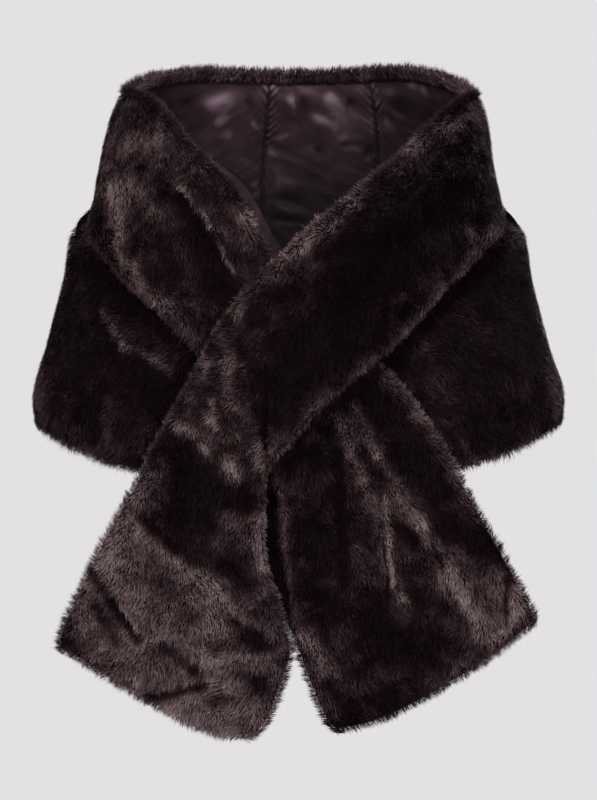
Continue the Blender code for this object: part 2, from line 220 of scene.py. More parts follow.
# Painted sheen and shade where the nap is brushed to the light or away from it, with the small creases that
# go with it.
# Columns: from x and z, to x and z, half width, painted shade from -1 dark to 1 painted sheen, lift.
BRUSHED_SHEEN = {
    "left_band": (
        (-192, -30, -176, -110, 22, 0.22, 0.0),
        (-166, 0, -130, -30, 20, 0.15, 0.0),
        (-196, -60, -184, -118, 9, 0.7, 0.5),
        (-176, -22, -140, -12, 12, 0.35, 0.0),
        (-176, -58, -150, -96, 13, 0.5, 0.0),
        (-166, -44, -160, -46, 4, -1.0, -3.0),
        (-142, -64, -116, -92, 10, -0.6, 0.0),
        (-119, -68, -92, -112, 3, 1.0, 2.5),
        (-92, -112, -68, -156, 3, 1.0, 2.5),
        (-115, -84, -89, -126, 5, -1.0, -3.5),
        (-96, -126, -76, -176, 13, -1.0, -2.0),
        (-96, -46, -34, -146, 9, 0.3, 0.0),
        (-56, -100, -46, -112, 6, 0.8, 0.0),
        (-196, -126, -144, -190, 8, 0.8, 0.0),
        (-140, -190, -104, -224, 7, 0.6, 0.0),
        (-150, -110, -120, -160, 14, -0.1, 0.0),
    ),
    "right_band": (
        (182, 12, 120, -26, 9, 0.7, 0.0),
        (120, -26, 58, -86, 9, 0.7, 0.0),
        (50, -92, -20, -150, 11, 0.9, 0.0),
        (-20, -150, -68, -210, 9, 0.6, 0.0),
        (34, -110, -8, -132, 11, 0.7, 0.0),
        (120, -70, 60, -150, 22, -0.7, 0.0),
        (160, -70, 128, -130, 16, -0.5, 0.0),
        (84, -160, 20, -236, 24, -0.7, 0.0),
        (176, -110, 182, -116, 8, 0.6, 0.0),
        (100, -128, 96, -134, 8, 0.5, 0.0),
        (204, -110, 132, -196, 7, 0.6, 0.0),
        (122, -206, 58, -262, 7, 0.5, 0.0),
        (32, -280, -12, -342, 7, 0.6, 0.0),
        (-28, -318, -22, -348, 9, 0.8, 0.0),
        (-31, -282, -31, -360, 3.5, -1.0, -5.0),
        (-66, -200, -82, -232, 8, 0.6, 0.0),
        (-92, -222, -74, -232, 7, 0.7, 0.0),
        (-52, -252, -50, -274, 4, 0.8, 1.0),
        (-60, -246, -60, -280, 4, -0.6, -2.0),
        (10, -230, -16, -286, 18, -0.6, 0.0),
    ),
    "left_tail": (
        (-200, -440, -150, -600, 58, 0.38, 0.0),
        (-110, -500, -60, -615, 52, 0.42, 0.0),
        (-102, -240, -88, -252, 7, 0.6, 0.0),
        (-120, -260, -165, -345, 10, 0.4, 0.0),
        (-70, -250, -66, -290, 7, 0.4, 0.0),
        (-84, -290, -80, -303, 5, 0.7, 0.0),
        (-118, -312, -106, -317, 6, 0.8, 0.0),
        (-88, -306, -80, -314, 5, 0.8, 0.0),
        (-98, -331, -92, -335, 4, 0.7, 0.0),
        (-70, -350, -66, -360, 9, 1.0, 1.5),
        (-38, -330, -34, -354, 6, 0.4, 0.0),
        (-112, -345, -104, -388, 20, -1.0, 0.0),
        (-84, -372, -54, -388, 15, -1.0, 0.0),
        (-122, -402, -92, -412, 11, -1.0, -1.5),
        (-164, -366, -206, -455, 20, 0.5, 0.0),
        (-156, -404, -123, -437, 6, -0.6, -1.0),
        (-122, -425, -70, -452, 15, -0.55, 0.0),
        (-38, -408, -38, -452, 8, 0.8, 0.5),
        (-168, -408, -122, -447, 8, 0.45, 1.0),
        (-122, -447, -70, -489, 6, 0.45, 1.0),
        (-211, -453, -186, -488, 5, -1.0, -2.5),
        (-186, -488, -158, -527, 4, -1.0, -3.0),
        (-178, -492, -160, -517, 2.5, 0.7, 1.0),
        (-201, -493, -181, -526, 8, -0.6, 0.0),
        (-234, -528, -222, -540, 6, -0.6, 0.0),
        (-73, -453, -48, -477, 8, -0.4, 0.0),
        (-132, -470, -112, -500, 12, -0.3, 0.0),
        (-70, -506, -37, -522, 4, -0.8, -1.5),
        (-54, -524, -26, -534, 5, -0.8, -2.0),
        (-96, -528, -44, -532, 8, -0.3, 0.0),
        (-134, -535, -103, -558, 6, -0.7, -1.5),
        (-103, -558, -32, -563, 6, -0.4, 0.0),
        (-92, -547, -26, -541, 5, 0.4, 0.5),
        (-146, -584, -92, -572, 4, -1.0, -2.0),
        (-43, -570, -28, -582, 8, -0.5, 0.0),
        (-110, -596, -68, -586, 5, -0.4, 0.0),
        (-176, -560, -140, -590, 10, 0.2, 0.0),
        (-130, -604, -60, -640, 14, 0.2, 0.0),
    ),
    "right_tail": (
        (-22, -364, -2, -530, 5, 0.6, 0.0),
        (-40, -360, -14, -525, 8, -1.0, 0.0),
        (10, -350, 22, -500, 16, -0.35, 0.0),
        (37, -342, 46, -470, 4.5, -1.0, -4.0),
        (38, -306, 64, -371, 7, 0.5, 1.0),
        (64, -371, 84, -436, 9, 0.5, 1.0),
        (86, -383, 90, -454, 4.5, 0.8, 1.5),
        (90, -454, 102, -489, 5, 0.8, 1.0),
        (84, -430, 90, -475, 1.8, -0.9, -1.5),
        (55, -289, 78, -342, 6, 0.5, 1.0),
        (78, -342, 98, -374, 7, 0.5, 1.0),
        (92, -366, 84, -362, 5, -0.6, -1.5),
        (70, -278, 110, -330, 14, -0.8, 0.0),
        (110, -330, 140, -376, 15, -0.9, -1.0),
        (84, -262, 120, -301, 9, 0.6, 1.0),
        (120, -301, 158, -362, 12, 0.7, 1.0),
        (158, -362, 182, -404, 11, 0.6, 0.0),
        (143, -410, 204, -443, 10, -1.0, -1.5),
        (98, -383, 120, -409, 8, 0.6, 1.0),
        (120, -409, 150, -462, 9, 0.7, 1.5),
        (150, -462, 184, -524, 10, 0.8, 1.0),
        (93, -412, 108, -425, 8, -0.6, -1.0),
        (128, -420, 156, -486, 3, -0.7, -1.5),
        (190, -470, 212, -530, 30, 0.35, 0.0),
        (214, -450, 218, -496, 6, 0.6, 1.0),
        (218, -496, 200, -526, 6, 0.6, 0.0),
        (208, -460, 208, -513, 3, -0.7, -1.5),
        (148, -492, 173, -514, 8, -0.5, 0.0),
        (130, -470, 150, -510, 9, 0.2, 0.0),
        (72, -508, 128, -552, 20, -0.5, 0.0),
        (28, -600, 90, -584, 15, -0.4, 0.0),
        (5, -524, 26, -556, 10, 0.7, 0.0),
        (18, -576, 34, -602, 7, 0.5, 0.0),
        (132, -564, 212, -543, 9, 0.5, 0.0),
    ),
    "left_drape": (
        (-200, -196, -176, -232, 6, 0.7, 1.0),
        (-176, -232, -128, -254, 6, 0.7, 1.0),
        (-222, -140, -166, -190, 12, -0.7, -1.5),
        (-166, -254, -118, -300, 14, -0.9, -1.5),
        (-273, -262, -266, -308, 8, 0.5, 0.0),
        (-264, -322, -170, -360, 9, 0.35, 0.0),
        (-226, -88, -206, -136, 8, 0.5, 0.0),
        (-196, -250, -190, -340, 8, 0.25, 0.0),
        (-240, -200, -216, -300, 20, -0.3, 0.0),
    ),
    "right_drape": (
        (160, -156, 186, -184, 14, -0.8, -1.5),
        (262, -262, 272, -306, 8, 0.5, 0.0),
        (206, -90, 228, -118, 8, 0.5, 0.0),
        (166, -324, 178, -346, 5, 0.5, 0.5),
        (170, -356, 266, -326, 8, 0.4, 0.0),
        (210, -150, 236, -240, 22, -0.4, 0.0),
        (150, -220, 190, -320, 20, -0.3, 0.0),
        (128, -236, 150, -286, 7, 0.3, 0.0),
    ),
    "back_panel": (
        (-150, 40, 150, 42, 12, 0.3, 0.0),
        (-176, -120, -60, -150, 9, 0.5, 1.0),
        (-60, -150, 96, -132, 8, 0.4, 0.5),
        (-120, -60, -30, -96, 20, -0.6, 0.0),
        (60, -40, 150, -96, 22, -0.5, 0.0),
        (-160, -230, -110, -310, 10, 0.6, 1.0),
        (30, -210, 70, -310, 10, 0.6, 1.0),
        (-70, -220, -40, -320, 12, -0.8, -1.5),
        (130, -200, 156, -320, 12, -0.7, -1.5),
        (-30, -10, 40, -50, 14, 0.4, 0.0),
        (180, -140, 200, -260, 10, 0.5, 0.0),
        (-210, -130, -222, -270, 10, 0.5, 0.0),
    ),
}


def unit(vectors):
    return vectors / np.linalg.norm(vectors, axis=-1, keepdims=True)


def smooth(share):
    share = np.clip(share, 0.0, 1.0)
    return share * share * (3.0 - 2.0 * share)


def through(knots, rows, at):
    """A smooth curve through the rows of a table, read at places along its knots."""
    knots = np.asarray(knots, float)
    rows = np.asarray(rows, float)
    at = np.asarray(at, float)
    slopes = np.gradient(rows, knots, axis=0)
    first = np.clip(np.searchsorted(knots, at, side="right") - 1, 0, len(knots) - 2)
    span = knots[first + 1] - knots[first]
    t = ((at - knots[first]) / span)[..., None]
    span = span[..., None]
    return (
        rows[first] * (2 * t**3 - 3 * t**2 + 1)
        + slopes[first] * span * (t**3 - 2 * t**2 + t)
        + rows[first + 1] * (3 * t**2 - 2 * t**3)
        + slopes[first + 1] * span * (t**3 - t**2)
    )


def outline_at(height):
    """Half width, back depth and centre of the cape at this height."""
    table = np.array(OUTLINE[::-1], float)
    return through(table[:, 0], table[:, 1:], height)


def back_point(share, height):
    """A point of the cape's outer face, from the left side seam round the back to the right one."""
    width, depth, centre = np.moveaxis(outline_at(height), -1, 0)
    angle = np.pi * share
    power = 2.0 / BACK_ROUNDNESS
    cosine, sine = np.cos(angle), np.sin(angle)
    x = centre - width * np.sign(cosine) * np.abs(cosine) ** power
    y = SEAM_Y + (depth - SEAM_Y) * np.abs(sine) ** power
    return np.stack([x, y, height + 0.0 * x], axis=-1)


def lengths_between(points):
    """Millimetres walked to each point of a row of points."""
    steps = np.linalg.norm(np.diff(points, axis=0), axis=1)
    return np.concatenate([[0.0], np.cumsum(steps)])


def back_surface():
    """The back as a function of s, millimetres round it from the left seam, and v, from rim to hem."""
    edges = np.array(BACK_EDGES, float)
    shares = np.linspace(0.0, 1.0, BACK_PLACES)
    walked = lengths_between(back_point(shares, np.full_like(shares, BACK_PACING_HEIGHT)))

    def point(s, v):
        share = np.interp(s, walked, shares)
        rim, hem = np.moveaxis(through(edges[:, 0], edges[:, 1:], share), -1, 0)
        return back_point(share, rim + (hem - rim) * v)

    return point, walked[-1]


def band_surface(rows, side):
    """A band and its tail as a function of s, millimetres along it, and v, from neck edge to other edge."""
    rows = np.array(rows, float)
    knots = lengths_between((rows[:, 0:3] + rows[:, 3:6]) / 2)
    total = knots[-1]
    step_along, step_across = CROWN_STEPS

    def width(s):
        row = through(knots, rows, s)
        return np.linalg.norm(row[..., 3:6] - row[..., 0:3], axis=-1)

    def ruled(s, v):
        row = through(knots, rows, s)
        return row[..., 0:3] + (row[..., 3:6] - row[..., 0:3]) * v[..., None]

    def crowned(s, v):
        along = ruled(s + step_along, v) - ruled(s - step_along, v)
        across = ruled(s, v + step_across) - ruled(s, v - step_across)
        crown = through(knots, rows[:, 6:7], s) * (4.0 * v * (1.0 - v))[..., None]
        return ruled(s, v) + side * unit(np.cross(along, across)) * crown

    def point(s, v):
        s = s - TAIL_BOW * np.abs(2.0 * v - 1.0) ** 3 * smooth(2.0 * s / total - 1.0)
        turned = np.clip((s - total + TAIL_BOW + TAIL_CORNER) / TAIL_CORNER, 0.0, MOST_TURNED)
        pulled = TAIL_CORNER * (1.0 - np.sqrt(1.0 - turned**2))
        v = 0.5 + (v - 0.5) * (1.0 - 2.0 * pulled / width(s))
        seam_height = rows[0, 2] + (rows[0, 5] - rows[0, 2]) * v
        seam = back_point(np.full_like(v, 0.5 + 0.5 * side), seam_height)
        off_seam = seam - crowned(np.zeros_like(v), v)
        return crowned(s, v) + off_seam * smooth(1.0 - s / SEAM_MATCH_REACH)[..., None]

    return point, width, knots


def drape_surface(band, band_width, knots, band_folds, rows, side):
    """A front drape: tucked up behind its band's lower edge, it falls from there to its own hem."""
    rows = np.array(rows, float)
    knots = knots[: len(rows)]

    def behind(s, v):
        points = band(s, v)
        gap = LAYER_GAP + SEAM_LAYER_GAP * smooth(1.0 - s / TUCK_REACH)
        sunk = fold_heights(points, band_folds) - FUR_WALL - gap
        points = points + face_normals(band, side, s, v) * sunk[..., None]
        y = points[..., 1] - UNDER_LIMIT_Y
        points[..., 1] = UNDER_LIMIT_Y + 0.5 * (y + np.sqrt(y * y + UNDER_LIMIT_BEND**2))
        return points

    def section(s, v):
        tuck = TUCK_AT_SEAM + (TUCK_IN_FRONT - TUCK_AT_SEAM) * smooth(s / TUCK_REACH)
        tucked = behind(s, 1.0 - tuck / band_width(s) * np.clip(1.0 - v / EMERGE_SHARE, 0.0, 1.0))
        row = through(knots, rows, s)
        hem = row[..., 0:3]
        leaving = behind(s, np.ones_like(s))
        outward = unit(hem * np.array(FALL_OUTWARD))
        full = leaving + (hem - leaving) * row[..., 3:4] + outward * row[..., 4:5]
        t = np.clip((v - EMERGE_SHARE) / (1.0 - EMERGE_SHARE), 0.0, 1.0)[..., None]
        pull = 2.0 * full - 0.5 * (leaving + hem)
        falling = leaving * (1.0 - t) ** 2 + pull * 2.0 * t * (1.0 - t) + hem * t**2
        return np.where((v < EMERGE_SHARE)[..., None], tucked, falling)

    def point(s, v):
        start = section(np.zeros_like(s), v)
        seam = back_point(np.full_like(v, 0.5 + 0.5 * side), start[..., 2])
        off_seam = seam - start
        below_band = smooth((v - EMERGE_SHARE) / MATCH_SHARE)
        off_seam[..., 0] *= below_band
        off_seam[..., 2] *= below_band
        return section(s, v) + off_seam * smooth(1.0 - s / SEAM_MATCH_REACH)[..., None]

    return point, knots[-1]


def face_normals(surface, side, s, v, seams=()):
    """Outward directions of a surface, level with the seam's plane where a side seam is near."""
    step_along, step_across = FACE_STEPS
    along = surface(s + step_along, v) - surface(s - step_along, v)
    across = surface(s, v + step_across) - surface(s, v - step_across)
    normals = side * unit(np.cross(along, across))
    for seam in seams:
        normals[..., 1] *= smooth(np.abs(s - seam) / SEAM_LEVEL_REACH)
    return unit(normals)


def line_shares(points, from_x, from_z, to_x, to_z):
    """How far along a line seen from the front these points lie, and their distance from it."""
    start = np.array([from_x, from_z], float)
    line = np.array([to_x - from_x, to_z - from_z], float)
    offset = points[..., [0, 2]] - start
    share = np.clip(offset @ line / (line @ line), 0.0, 1.0)
    return share, np.linalg.norm(offset - share[..., None] * line, axis=-1)


def fold_heights(points, folds):
    """How far the folds of a piece lift these points off its plain surface."""
    lift = np.zeros(points.shape[:-1])
    for from_x, from_z, to_x, to_z, height, half_width in folds:
        share, distance = line_shares(points, from_x, from_z, to_x, to_z)
        fade = smooth(np.minimum(share, 1.0 - share) * FOLD_RISE + FOLD_START)
        lift += height * fade * np.exp(-((distance / half_width) ** 2))
    return lift


# The pile's depths are under the face that the tips of its hairs reach.
BED_DEPTH = 5.0  # dense under-fur starts here
EDGE_INSET = 6.0  # the cloth stops this far inside the reach of the hairs
BED_STEP = 6.5
SEAM_LAP = 0.6  # the under-fur closes over each seam
BED_RIM = (FUR_WALL - BED_DEPTH) / 2
RIM_STEPS = (0.0, 0.8, 2.2, BED_RIM)  # places from the edge of the cloth, close together on its round
RIM_SHARE = 0.98  # of the rim's quarter round that is built
FLAT_UNDER = 0.5  # the rim is rounded off less than this where the under-fur's bumps show
TURNED_HEM = 15.0  # the fur turns in this far at each free edge
INSIDE_LIFT = 0.9  # a fur piece's wrinkled inner face is raised this far into its wall
# Painted shade and highlight of the hidden satin: lighter where its inner face is wrinkled up.
INSIDE_FOLD_SHADE = 0.28, 0.2  # the hidden satin's fold value on the flat, and to a millimetre of wrinkle
# A tail's end runs slanting, so its two edges are paced apart.
LEAST_STRETCH, STRETCH_REACH = 0.4, 30.0
# The under-fur is fuller where the cape widens under each band at its seam.
NOTCH_HEIGHT, NOTCH_REACH, NOTCH_LENGTH, NOTCH_FILL = -97.0, 12.0, 24.0, 3.6

GROUND_ROWS, GROUND_COLUMNS = 160, 90
SEED = 4
HAIR_LENGTH = 15.0  # at the most
HAIR_HALF_WIDTH = 0.28
HAIR_WIDTHS = 0.7, 1.3  # share of its half width that a hair has
ROOT_DEPTH = 8.0
LOWER_LEAN, UPPER_LEAN = 0.55, 1.35  # share of a hair's lean that its two halves have
FLARE = 20.0  # hairs turn outwards this near an edge
FLARE_LOSS = 0.75  # share of the nap's own direction that is lost there
NAP_SETTLES = 90.0  # millimetres from the side seam
CLUMPING = 2.0  # millimetres that tips draw together
UNDER_LAYER_SHARE = 0.3  # of the hairs where another piece lies on this one
TUCKED_SHARE = 0.25  # of the hairs where a drape is tucked up behind its band
EDGE_MARGIN = 1.0  # hairs start this far inside the cloth's edge
FAR = 999.0  # further than anything on the stole

# How a hair's tone is made up: its painted sheen and shade, and random patches. Swirls of the nap also turn
# the hairs and draw the patches out.
SHADE_TONE = 0.66
PATCH_TONE = 0.145  # of the small brushed patches
PATCH_LOSS = 0.3  # where the nap is brushed
SWIRL_TURN, SWIRL_DRAW, SWIRL_TONE = 0.65, 7.0, 0.5  # radians, millimetres, tone
# Painted highlight on the hairs of a fold's ridge, painted shade on those of its trough.
FOLD_LIGHT_AND_SHADE = 0.015  # to a millimetre of fold
# Painted highlight on the hairs near the cloth's edges.
EDGE_HIGHLIGHT, EDGE_HIGHLIGHT_REACH = 0.07, 14.0
TONE_LIMITS = 0.02, 0.98
BAKE_WIDTHS = 0, -0.003, 0.003, 0  # a hair's root, two sides and tip on the colour map

# Hairs along an edge of the cloth.
RIM_HALF_WIDTH = 0.2
RIM_HAIRS = 12.0  # to a millimetre of edge
RIM_ROOT_DEPTH = BED_DEPTH + BED_RIM
RIM_ROOT_OUT = 0.6  # share of the rim's radius
RIM_ANGLES = -75.0, 100.0  # from straight out towards the face, in degrees
RIM_LENGTH, RIM_LENGTH_OUT = 7.6, 1.9
# Rim hairs have a painted highlight, more of it on low edges, and part of the painted sheen and shade of the
# brushing.
RIM_HIGHLIGHT, RIM_SHADE_TONE, LOW_RIM_HIGHLIGHT = 0.1, 0.4, 0.1
# The back's rim has more, longer and wider hairs, with a painted highlight where light falls on them from
# above.
UPSTANDING_HAIRS, UPSTANDING_LENGTH, UPSTANDING_WIDTH, UPSTANDING_HIGHLIGHT = 1.5, 1.2, 1.4, 0.27

# Hairs on the fur that is turned in over the back's rim. Their light tone is a painted highlight where light
# falls on them from above.
TURNED_HAIRS = 12.0  # to a millimetre of the rim
TURNED_START = 2.0  # they start this far down from it
TURNED_ROOT_DEPTH = FUR_WALL - 0.5
TURNED_LENGTH, TURNED_WIDTH, TURNED_LIT_TONE = 11.5, 1.3, 0.64
TURNED_LEANS = 0.05, 0.5  # towards the wearer
TURNED_START_LEAN, TURNED_TIP_LEAN = 0.35, 0.2

# Smooth unevenness of the cloth and its hairs. Columns: amount, size in millimetres, seed.
UNEVEN = {
    "under-fur tufts": (0.9, 9.0, 11),
    "under-fur swells": (0.5, 26.0, 12),
    "wrinkles inside": (0.8, 24.0, 14),
    "creases inside": (0.4, 9.0, 15),
    "nap turn": (0.65, 55.0, 1),
    "nap swirl": (1.0, 17.0, 2),
    "nap lean": (12.0, 24.0, 3),
    "hair length": (0.06, 12.0, 4),
    "clump along": (1.0, 6.0, 5),
    "clump across": (1.0, 6.0, 6),
    "patch draw": (7.0, 21.0, 9),
    "patch tone": (2.4, 13.0, 8),
    "broad tone": (0.6, 40.0, 7),
    "fine tone": (0.06, 3.2, 20),
    "rim sway": (0.5, 16.0, 9),
    "rim tufts": (0.7, 4.5, 10),
    "rim length": (0.14, 7.0, 13),
    "rim tone": (0.14, 22.0, 8),
    "upstanding tone": (0.2, 19.0, 22),
    "turned sway": (0.35, 9.0, 16),
    "turned tufts": (0.3, 4.0, 17),
    "turned length": (0.12, 6.0, 18),
    "turned tone": (0.28, 15.0, 19),
    "pucker wave": (2.2, 19.0, 24),
    "pucker height": (0.5, 12.0, 25),
    "pucker reach": (0.5, 9.0, 26),
    "lining swells": (0.6, 34.0, 21),
    "lining ridges": (1.0, 22.0, 27),
    "lining small ridges": (1.0, 9.0, 28),
    "band lining swells": (0.6, 24.0, 31),
    "band lining pleats": (1.0, 8.0, 32),
}

# How far single hairs stray from their neighbours, as a standard deviation.
STRAY = {
    "nap turn": 0.17,
    "nap lean": 7.0,
    "hair length": 0.06,
    "fine tone": 0.1,
    "rim sway": 0.12,
    "rim length": 0.12,
    "rim tone": 0.08,
    "turned sway": 0.12,
    "turned length": 0.1,
    "turned tone": 0.1,
    "roll": 0.7,
}

# Hairs that each piece gets besides those of its edges.
HAIRS = {
    "back_panel": 50000,
    "left_band": 42000,
    "right_band": 54000,
    "left_tail": 58000,
    "right_tail": 60000,
    "left_drape": 36000,
    "right_drape": 38000,
}

# Columns: how much painted sheen a piece has where it isn't brushed, how far its hairs lie down in degrees,
# and which way from its length to its width they lie, in degrees, at the side seam and where the nap has
# settled.
NAPS = {
    "back_panel": (0.25, 46.0, 90.0, 90.0),
    "left_band": (0.25, 50.0, 75.0, 25.0),
    "right_band": (0.17, 42.0, 75.0, 20.0),
    "left_tail": (0.45, 36.0, 5.0, 5.0),
    "right_tail": (0.3, 37.0, 5.0, 5.0),
    "left_drape": (0.15, 42.0, 90.0, 90.0),
    "right_drape": (0.13, 42.0, 90.0, 90.0),
}

# A length of fur leaves a side seam as a band, crosses the other and goes on as a tail.
# Columns: side of the seam, its band, tail and drape, their sections, share of the band from which the
# other length lies on it, and how many millimetres of the tail that still hides.
FUR_LENGTHS = (
    (-1, ("left_band", "right_tail", "left_drape"), (LEFT_BAND, RIGHT_TAIL, LEFT_DRAPE), 0.72, 40.0),
    (1, ("right_band", "left_tail", "right_drape"), (RIGHT_BAND, LEFT_TAIL, RIGHT_DRAPE), 1.0, 0.0),
)

# The cut of each fur piece, laid flat: width, length and area.
FUR_CUTS = {
    "back_panel": (0.640, 0.420, 0.252),
    "left_band": (0.165, 0.400, 0.058),
    "right_band": (0.165, 0.420, 0.063),
    "left_tail": (0.240, 0.330, 0.062),
    "right_tail": (0.255, 0.355, 0.0715),
    "left_drape": (0.260, 0.270, 0.057),
    "right_drape": (0.265, 0.280, 0.064),
}

CAMERA_PLACE = (0.0, -3.15, -0.29)
CAMERA_LENS, CAMERA_SENSOR = 135.0, 36.0
ROOM_COLOUR = (0.767, 0.752, 0.760)
ROOM_LIGHT = 0.34  # share of the surroundings' brightness that lights the stole
FLOOR_COLOURS = ((0.0, (0.50, 0.49, 0.495)), (1.0, (0.53, 0.52, 0.525)))
FLOOR_RADIUS = 3.2
FLOOR_HEIGHT = -2.2
FLOOR_SIDES = 128
FLOOR_CLEAR_SHARE = 0.4  # of its radius over which the floor is solid
FLOOR_NOISE = (300.0, 2.0)  # size in millimetres, and how detailed it is
LAMP_AIM = (0.0, 0.0, -0.25)
# Columns: name, place in metres, side of the lamp's face in metres, power in watts.
LAMPS = (
    ("key lamp", (-1.3, -2.5, 1.8), 1.1, 190.0),
    ("fill lamp", (1.7, -2.3, 1.0), 1.1, 95.0),
    ("top lamp", (0.2, 0.9, 2.0), 1.4, 150.0),
    ("back lamp", (0.8, 2.7, 0.7), 1.2, 110.0),
)

# The back's lining is in three panels. Its creases are as seen from the front.
BACK_LININGS = ("lining_back_left", "lining_back_centre", "lining_back_right")
LINING_SEAMS_X = (-38.0, 89.0)
LINING_STEP = 2.6
# Columns: from x and z, to x and z, height, half width.
CREASES = (
    (-112, 28, -53, 50, 3.5, 9),
    (-97, 10, -69, 21, 2.0, 6),
    (-77, 6, -75, -16, 2.0, 8),
    (-53, 17, -40, 2, 2.5, 3),
    (-60, 39, -47, 19, -2.0, 4),
    (-134, 57, -123, 50, 2.0, 3),
    (-73, 59, -69, 54, -1.5, 3),
    (-128, 39, -117, 17, -2.0, 9),
    (-69, -27, -40, -40, 1.5, 9),
    (-55, -57, -40, -49, 1.8, 3),
    (-53, -68, -38, -62, 1.8, 3),
    (-31, 57, -22, 43, 2.5, 4),
    (-9, 48, -1, 15, 3.6, 5),
    (3, 46, 5, 19, -2.2, 4),
    (10, 25, 48, 6, 3.8, 6),
    (28, 48, 53, 28, 3.2, 7),
    (56, 41, 53, 21, -2.5, 4),
    (-31, -7, -1, 4, 2.2, 4),
    (-33, -13, -22, -27, 1.6, 4),
    (17, -13, 28, -29, -1.6, 4),
    (10, -9, 23, -33, 1.6, 6),
    (43, -11, 70, -13, -2.6, 5),
    (70, -20, 85, -27, -2.8, 6),
    (41, -3, 78, -4, 1.8, 5),
    (-27, -46, 8, -60, 2.6, 8),
    (-33, -67, 22, -86, -3.0, 5),
    (-29, -76, 17, -91, 2.2, 5),
    (-33, -92, 12, -96, -2.4, 5),
    (75, 58, 89, 42, 3.0, 3.5),
    (70, 60, 83, 44, -2.5, 3),
    (64, 57, 77, 38, 1.8, 4),
    (132, 52, 144, 34, 3.0, 3),
    (137, 53, 150, 33, -2.5, 2.5),
    (141, 54, 153, 32, 2.6, 3),
    (120, 56, 130, 44, 2.6, 4),
    (100, 28, 122, 17, -2.0, 5),
    (93, 19, 109, 0, 2.8, 4),
    (98, 52, 105, 32, 2.2, 6),
    (-120, -150, -20, -190, 3.0, 12),
    (20, -160, 120, -230, 3.5, 14),
    (-150, -220, -60, -280, 3.0, 14),
    (60, -120, 84, -170, 2.5, 6),
)
# A crease is steep on one side and flat on the other, and it starts faster than it ends.
CREASE_STEEP, CREASE_FLAT = 0.5, 1.6
CREASE_RISE, CREASE_FALL, CREASE_START = 2.5, 1.2, 0.1
LINING_LOFT = 2.6  # the lining's slack stands this far off the cloth behind it
LINING_DEPTH = FUR_WALL + SEAM_GAP
OUTER_SHARE = 0.9  # of the slack that the lining's hidden face follows
# A pucker leaves its seam upwards. Columns: from this height down, length along the seam, height, reach.
PUCKERS = (
    (58, 9.5, 3.2, 14.0),
    (0, 7.5, 2.3, 9.0),
    (-40, 5.0, 0.8, 4.0),
    (-58, 8.0, 1.7, 10.0),
    (-100, 6.0, 1.0, 6.0),
    (-330, 6.0, 1.0, 6.0),
)
PUCKER_SLANT = 0.75
PUCKER_START = 2.0  # millimetres from the seam
PUCKER_SHARE = 0.62  # of its height, on average
PUCKER_SIDES = 7.0  # keeps the puckers of a seam's two sides unlike each other
SEAM_SIDES = 3.0  # and those of the two seams
SEAM_SINK, SEAM_SINK_REACH = 2.2, 2.6
# The back's lining is pulled into soft ridges, which run down to both sides of its first seam.
RIDGE_SLANT, RIDGE_MIDDLE_X = 0.5, -38.0
RIDGE_STRETCH_X, RIDGE_STRETCH_Y = 0.35, 0.3
RIDGES, SMALL_RIDGES, RIDGE_HEIGHT = 0.7, 0.5, 1.1
RIDGE_SHARPNESS = 4
# The lining's fold shade, painted shade and highlight in its finish: lighter where its creases, puckers and
# ridges stand out, darker where they sink and at the sunken seams. On the flat, and to a millimetre of each
# of its forms.
FLAT_FOLD_SHADE, SLACK_FOLD_SHADE, RIDGE_FOLD_SHADE, RIDGE_FLAT, SINK_FOLD_SHADE = 0.42, 0.15, 0.3, 0.4, 0.3
PLEAT_FOLD_SHADE = 0.3
LINING_ROWS = (84, 0.58, 24)  # rows down to this share of the drop, and below it
LINING_EDGES = 0.05, 0.03  # share of the drop over which the slack starts and ends
LINING_BUNCHING = 0.45  # how strongly the places along a panel are drawn towards its seams
SEAM_SEARCH = (0.2, 0.8, 400)  # share of the way round the back, from and to, and places
SEAM_LEVEL = 0.2  # share of the drop at which the lining's seams are placed
STITCH_STEP = 3.4
STITCH_HALF_WIDTH = 0.35
STITCH_SHARE = 0.3  # of the step that half a stitch takes
STITCH_PROUD = 0.2
STITCH_INSET = 4.0

# Columns: section of the left band, distance of its lining past the fur's edge.
LINING_LIP = (
    (0.0, -9.0),
    (2.0, -7.0),
    (3.3, 0.0),
    (4.5, 8.0),
    (5.8, 16.0),
    (7.5, 16.0),
    (9.0, 8.0),
)
BAND_LINING_SHARE = 0.62  # of the band's width that its lining is built over
BAND_LINING_KNOTS = 9  # sections of the band that it runs over
BAND_LINING_ROWS = 34
BAND_LINING_EDGES = 9.0, 8.0  # how fast its slack starts and ends
PLEAT_STRETCH, PLEAT_SLANT, PLEAT_HEIGHT = 0.4, 0.5, 1.3
BAND_LINING_LOFT = 1.0


# Large primes and shifts that mix a lattice cell's number, and how many of its bits are read.
CELL_KEYS = (73856093, 19349663, 83492791)
SEED_KEY, STIR_KEY = 2654435761, 1274126177
FIRST_SHIFT, SECOND_SHIFT = 13, 16
READ_BITS = 0xFFFFFF
# The lattice is moved off the origin, and a little further for each seed.
LATTICE_START, LATTICE_STEP = 100.0, 0.37


def mixed_bits(cells, seed):
    """A number from -1 to 1 for each cell of a lattice, the same one each time."""
    keys = np.array(CELL_KEYS, np.uint64)
    bits = (cells.astype(np.uint64) * keys).sum(axis=-1) + np.uint64(seed * SEED_KEY)
    bits ^= bits >> np.uint64(FIRST_SHIFT)
    bits *= np.uint64(STIR_KEY)
    bits ^= bits >> np.uint64(SECOND_SHIFT)
    return (bits & np.uint64(READ_BITS)).astype(float) / (READ_BITS // 2) - 1.0


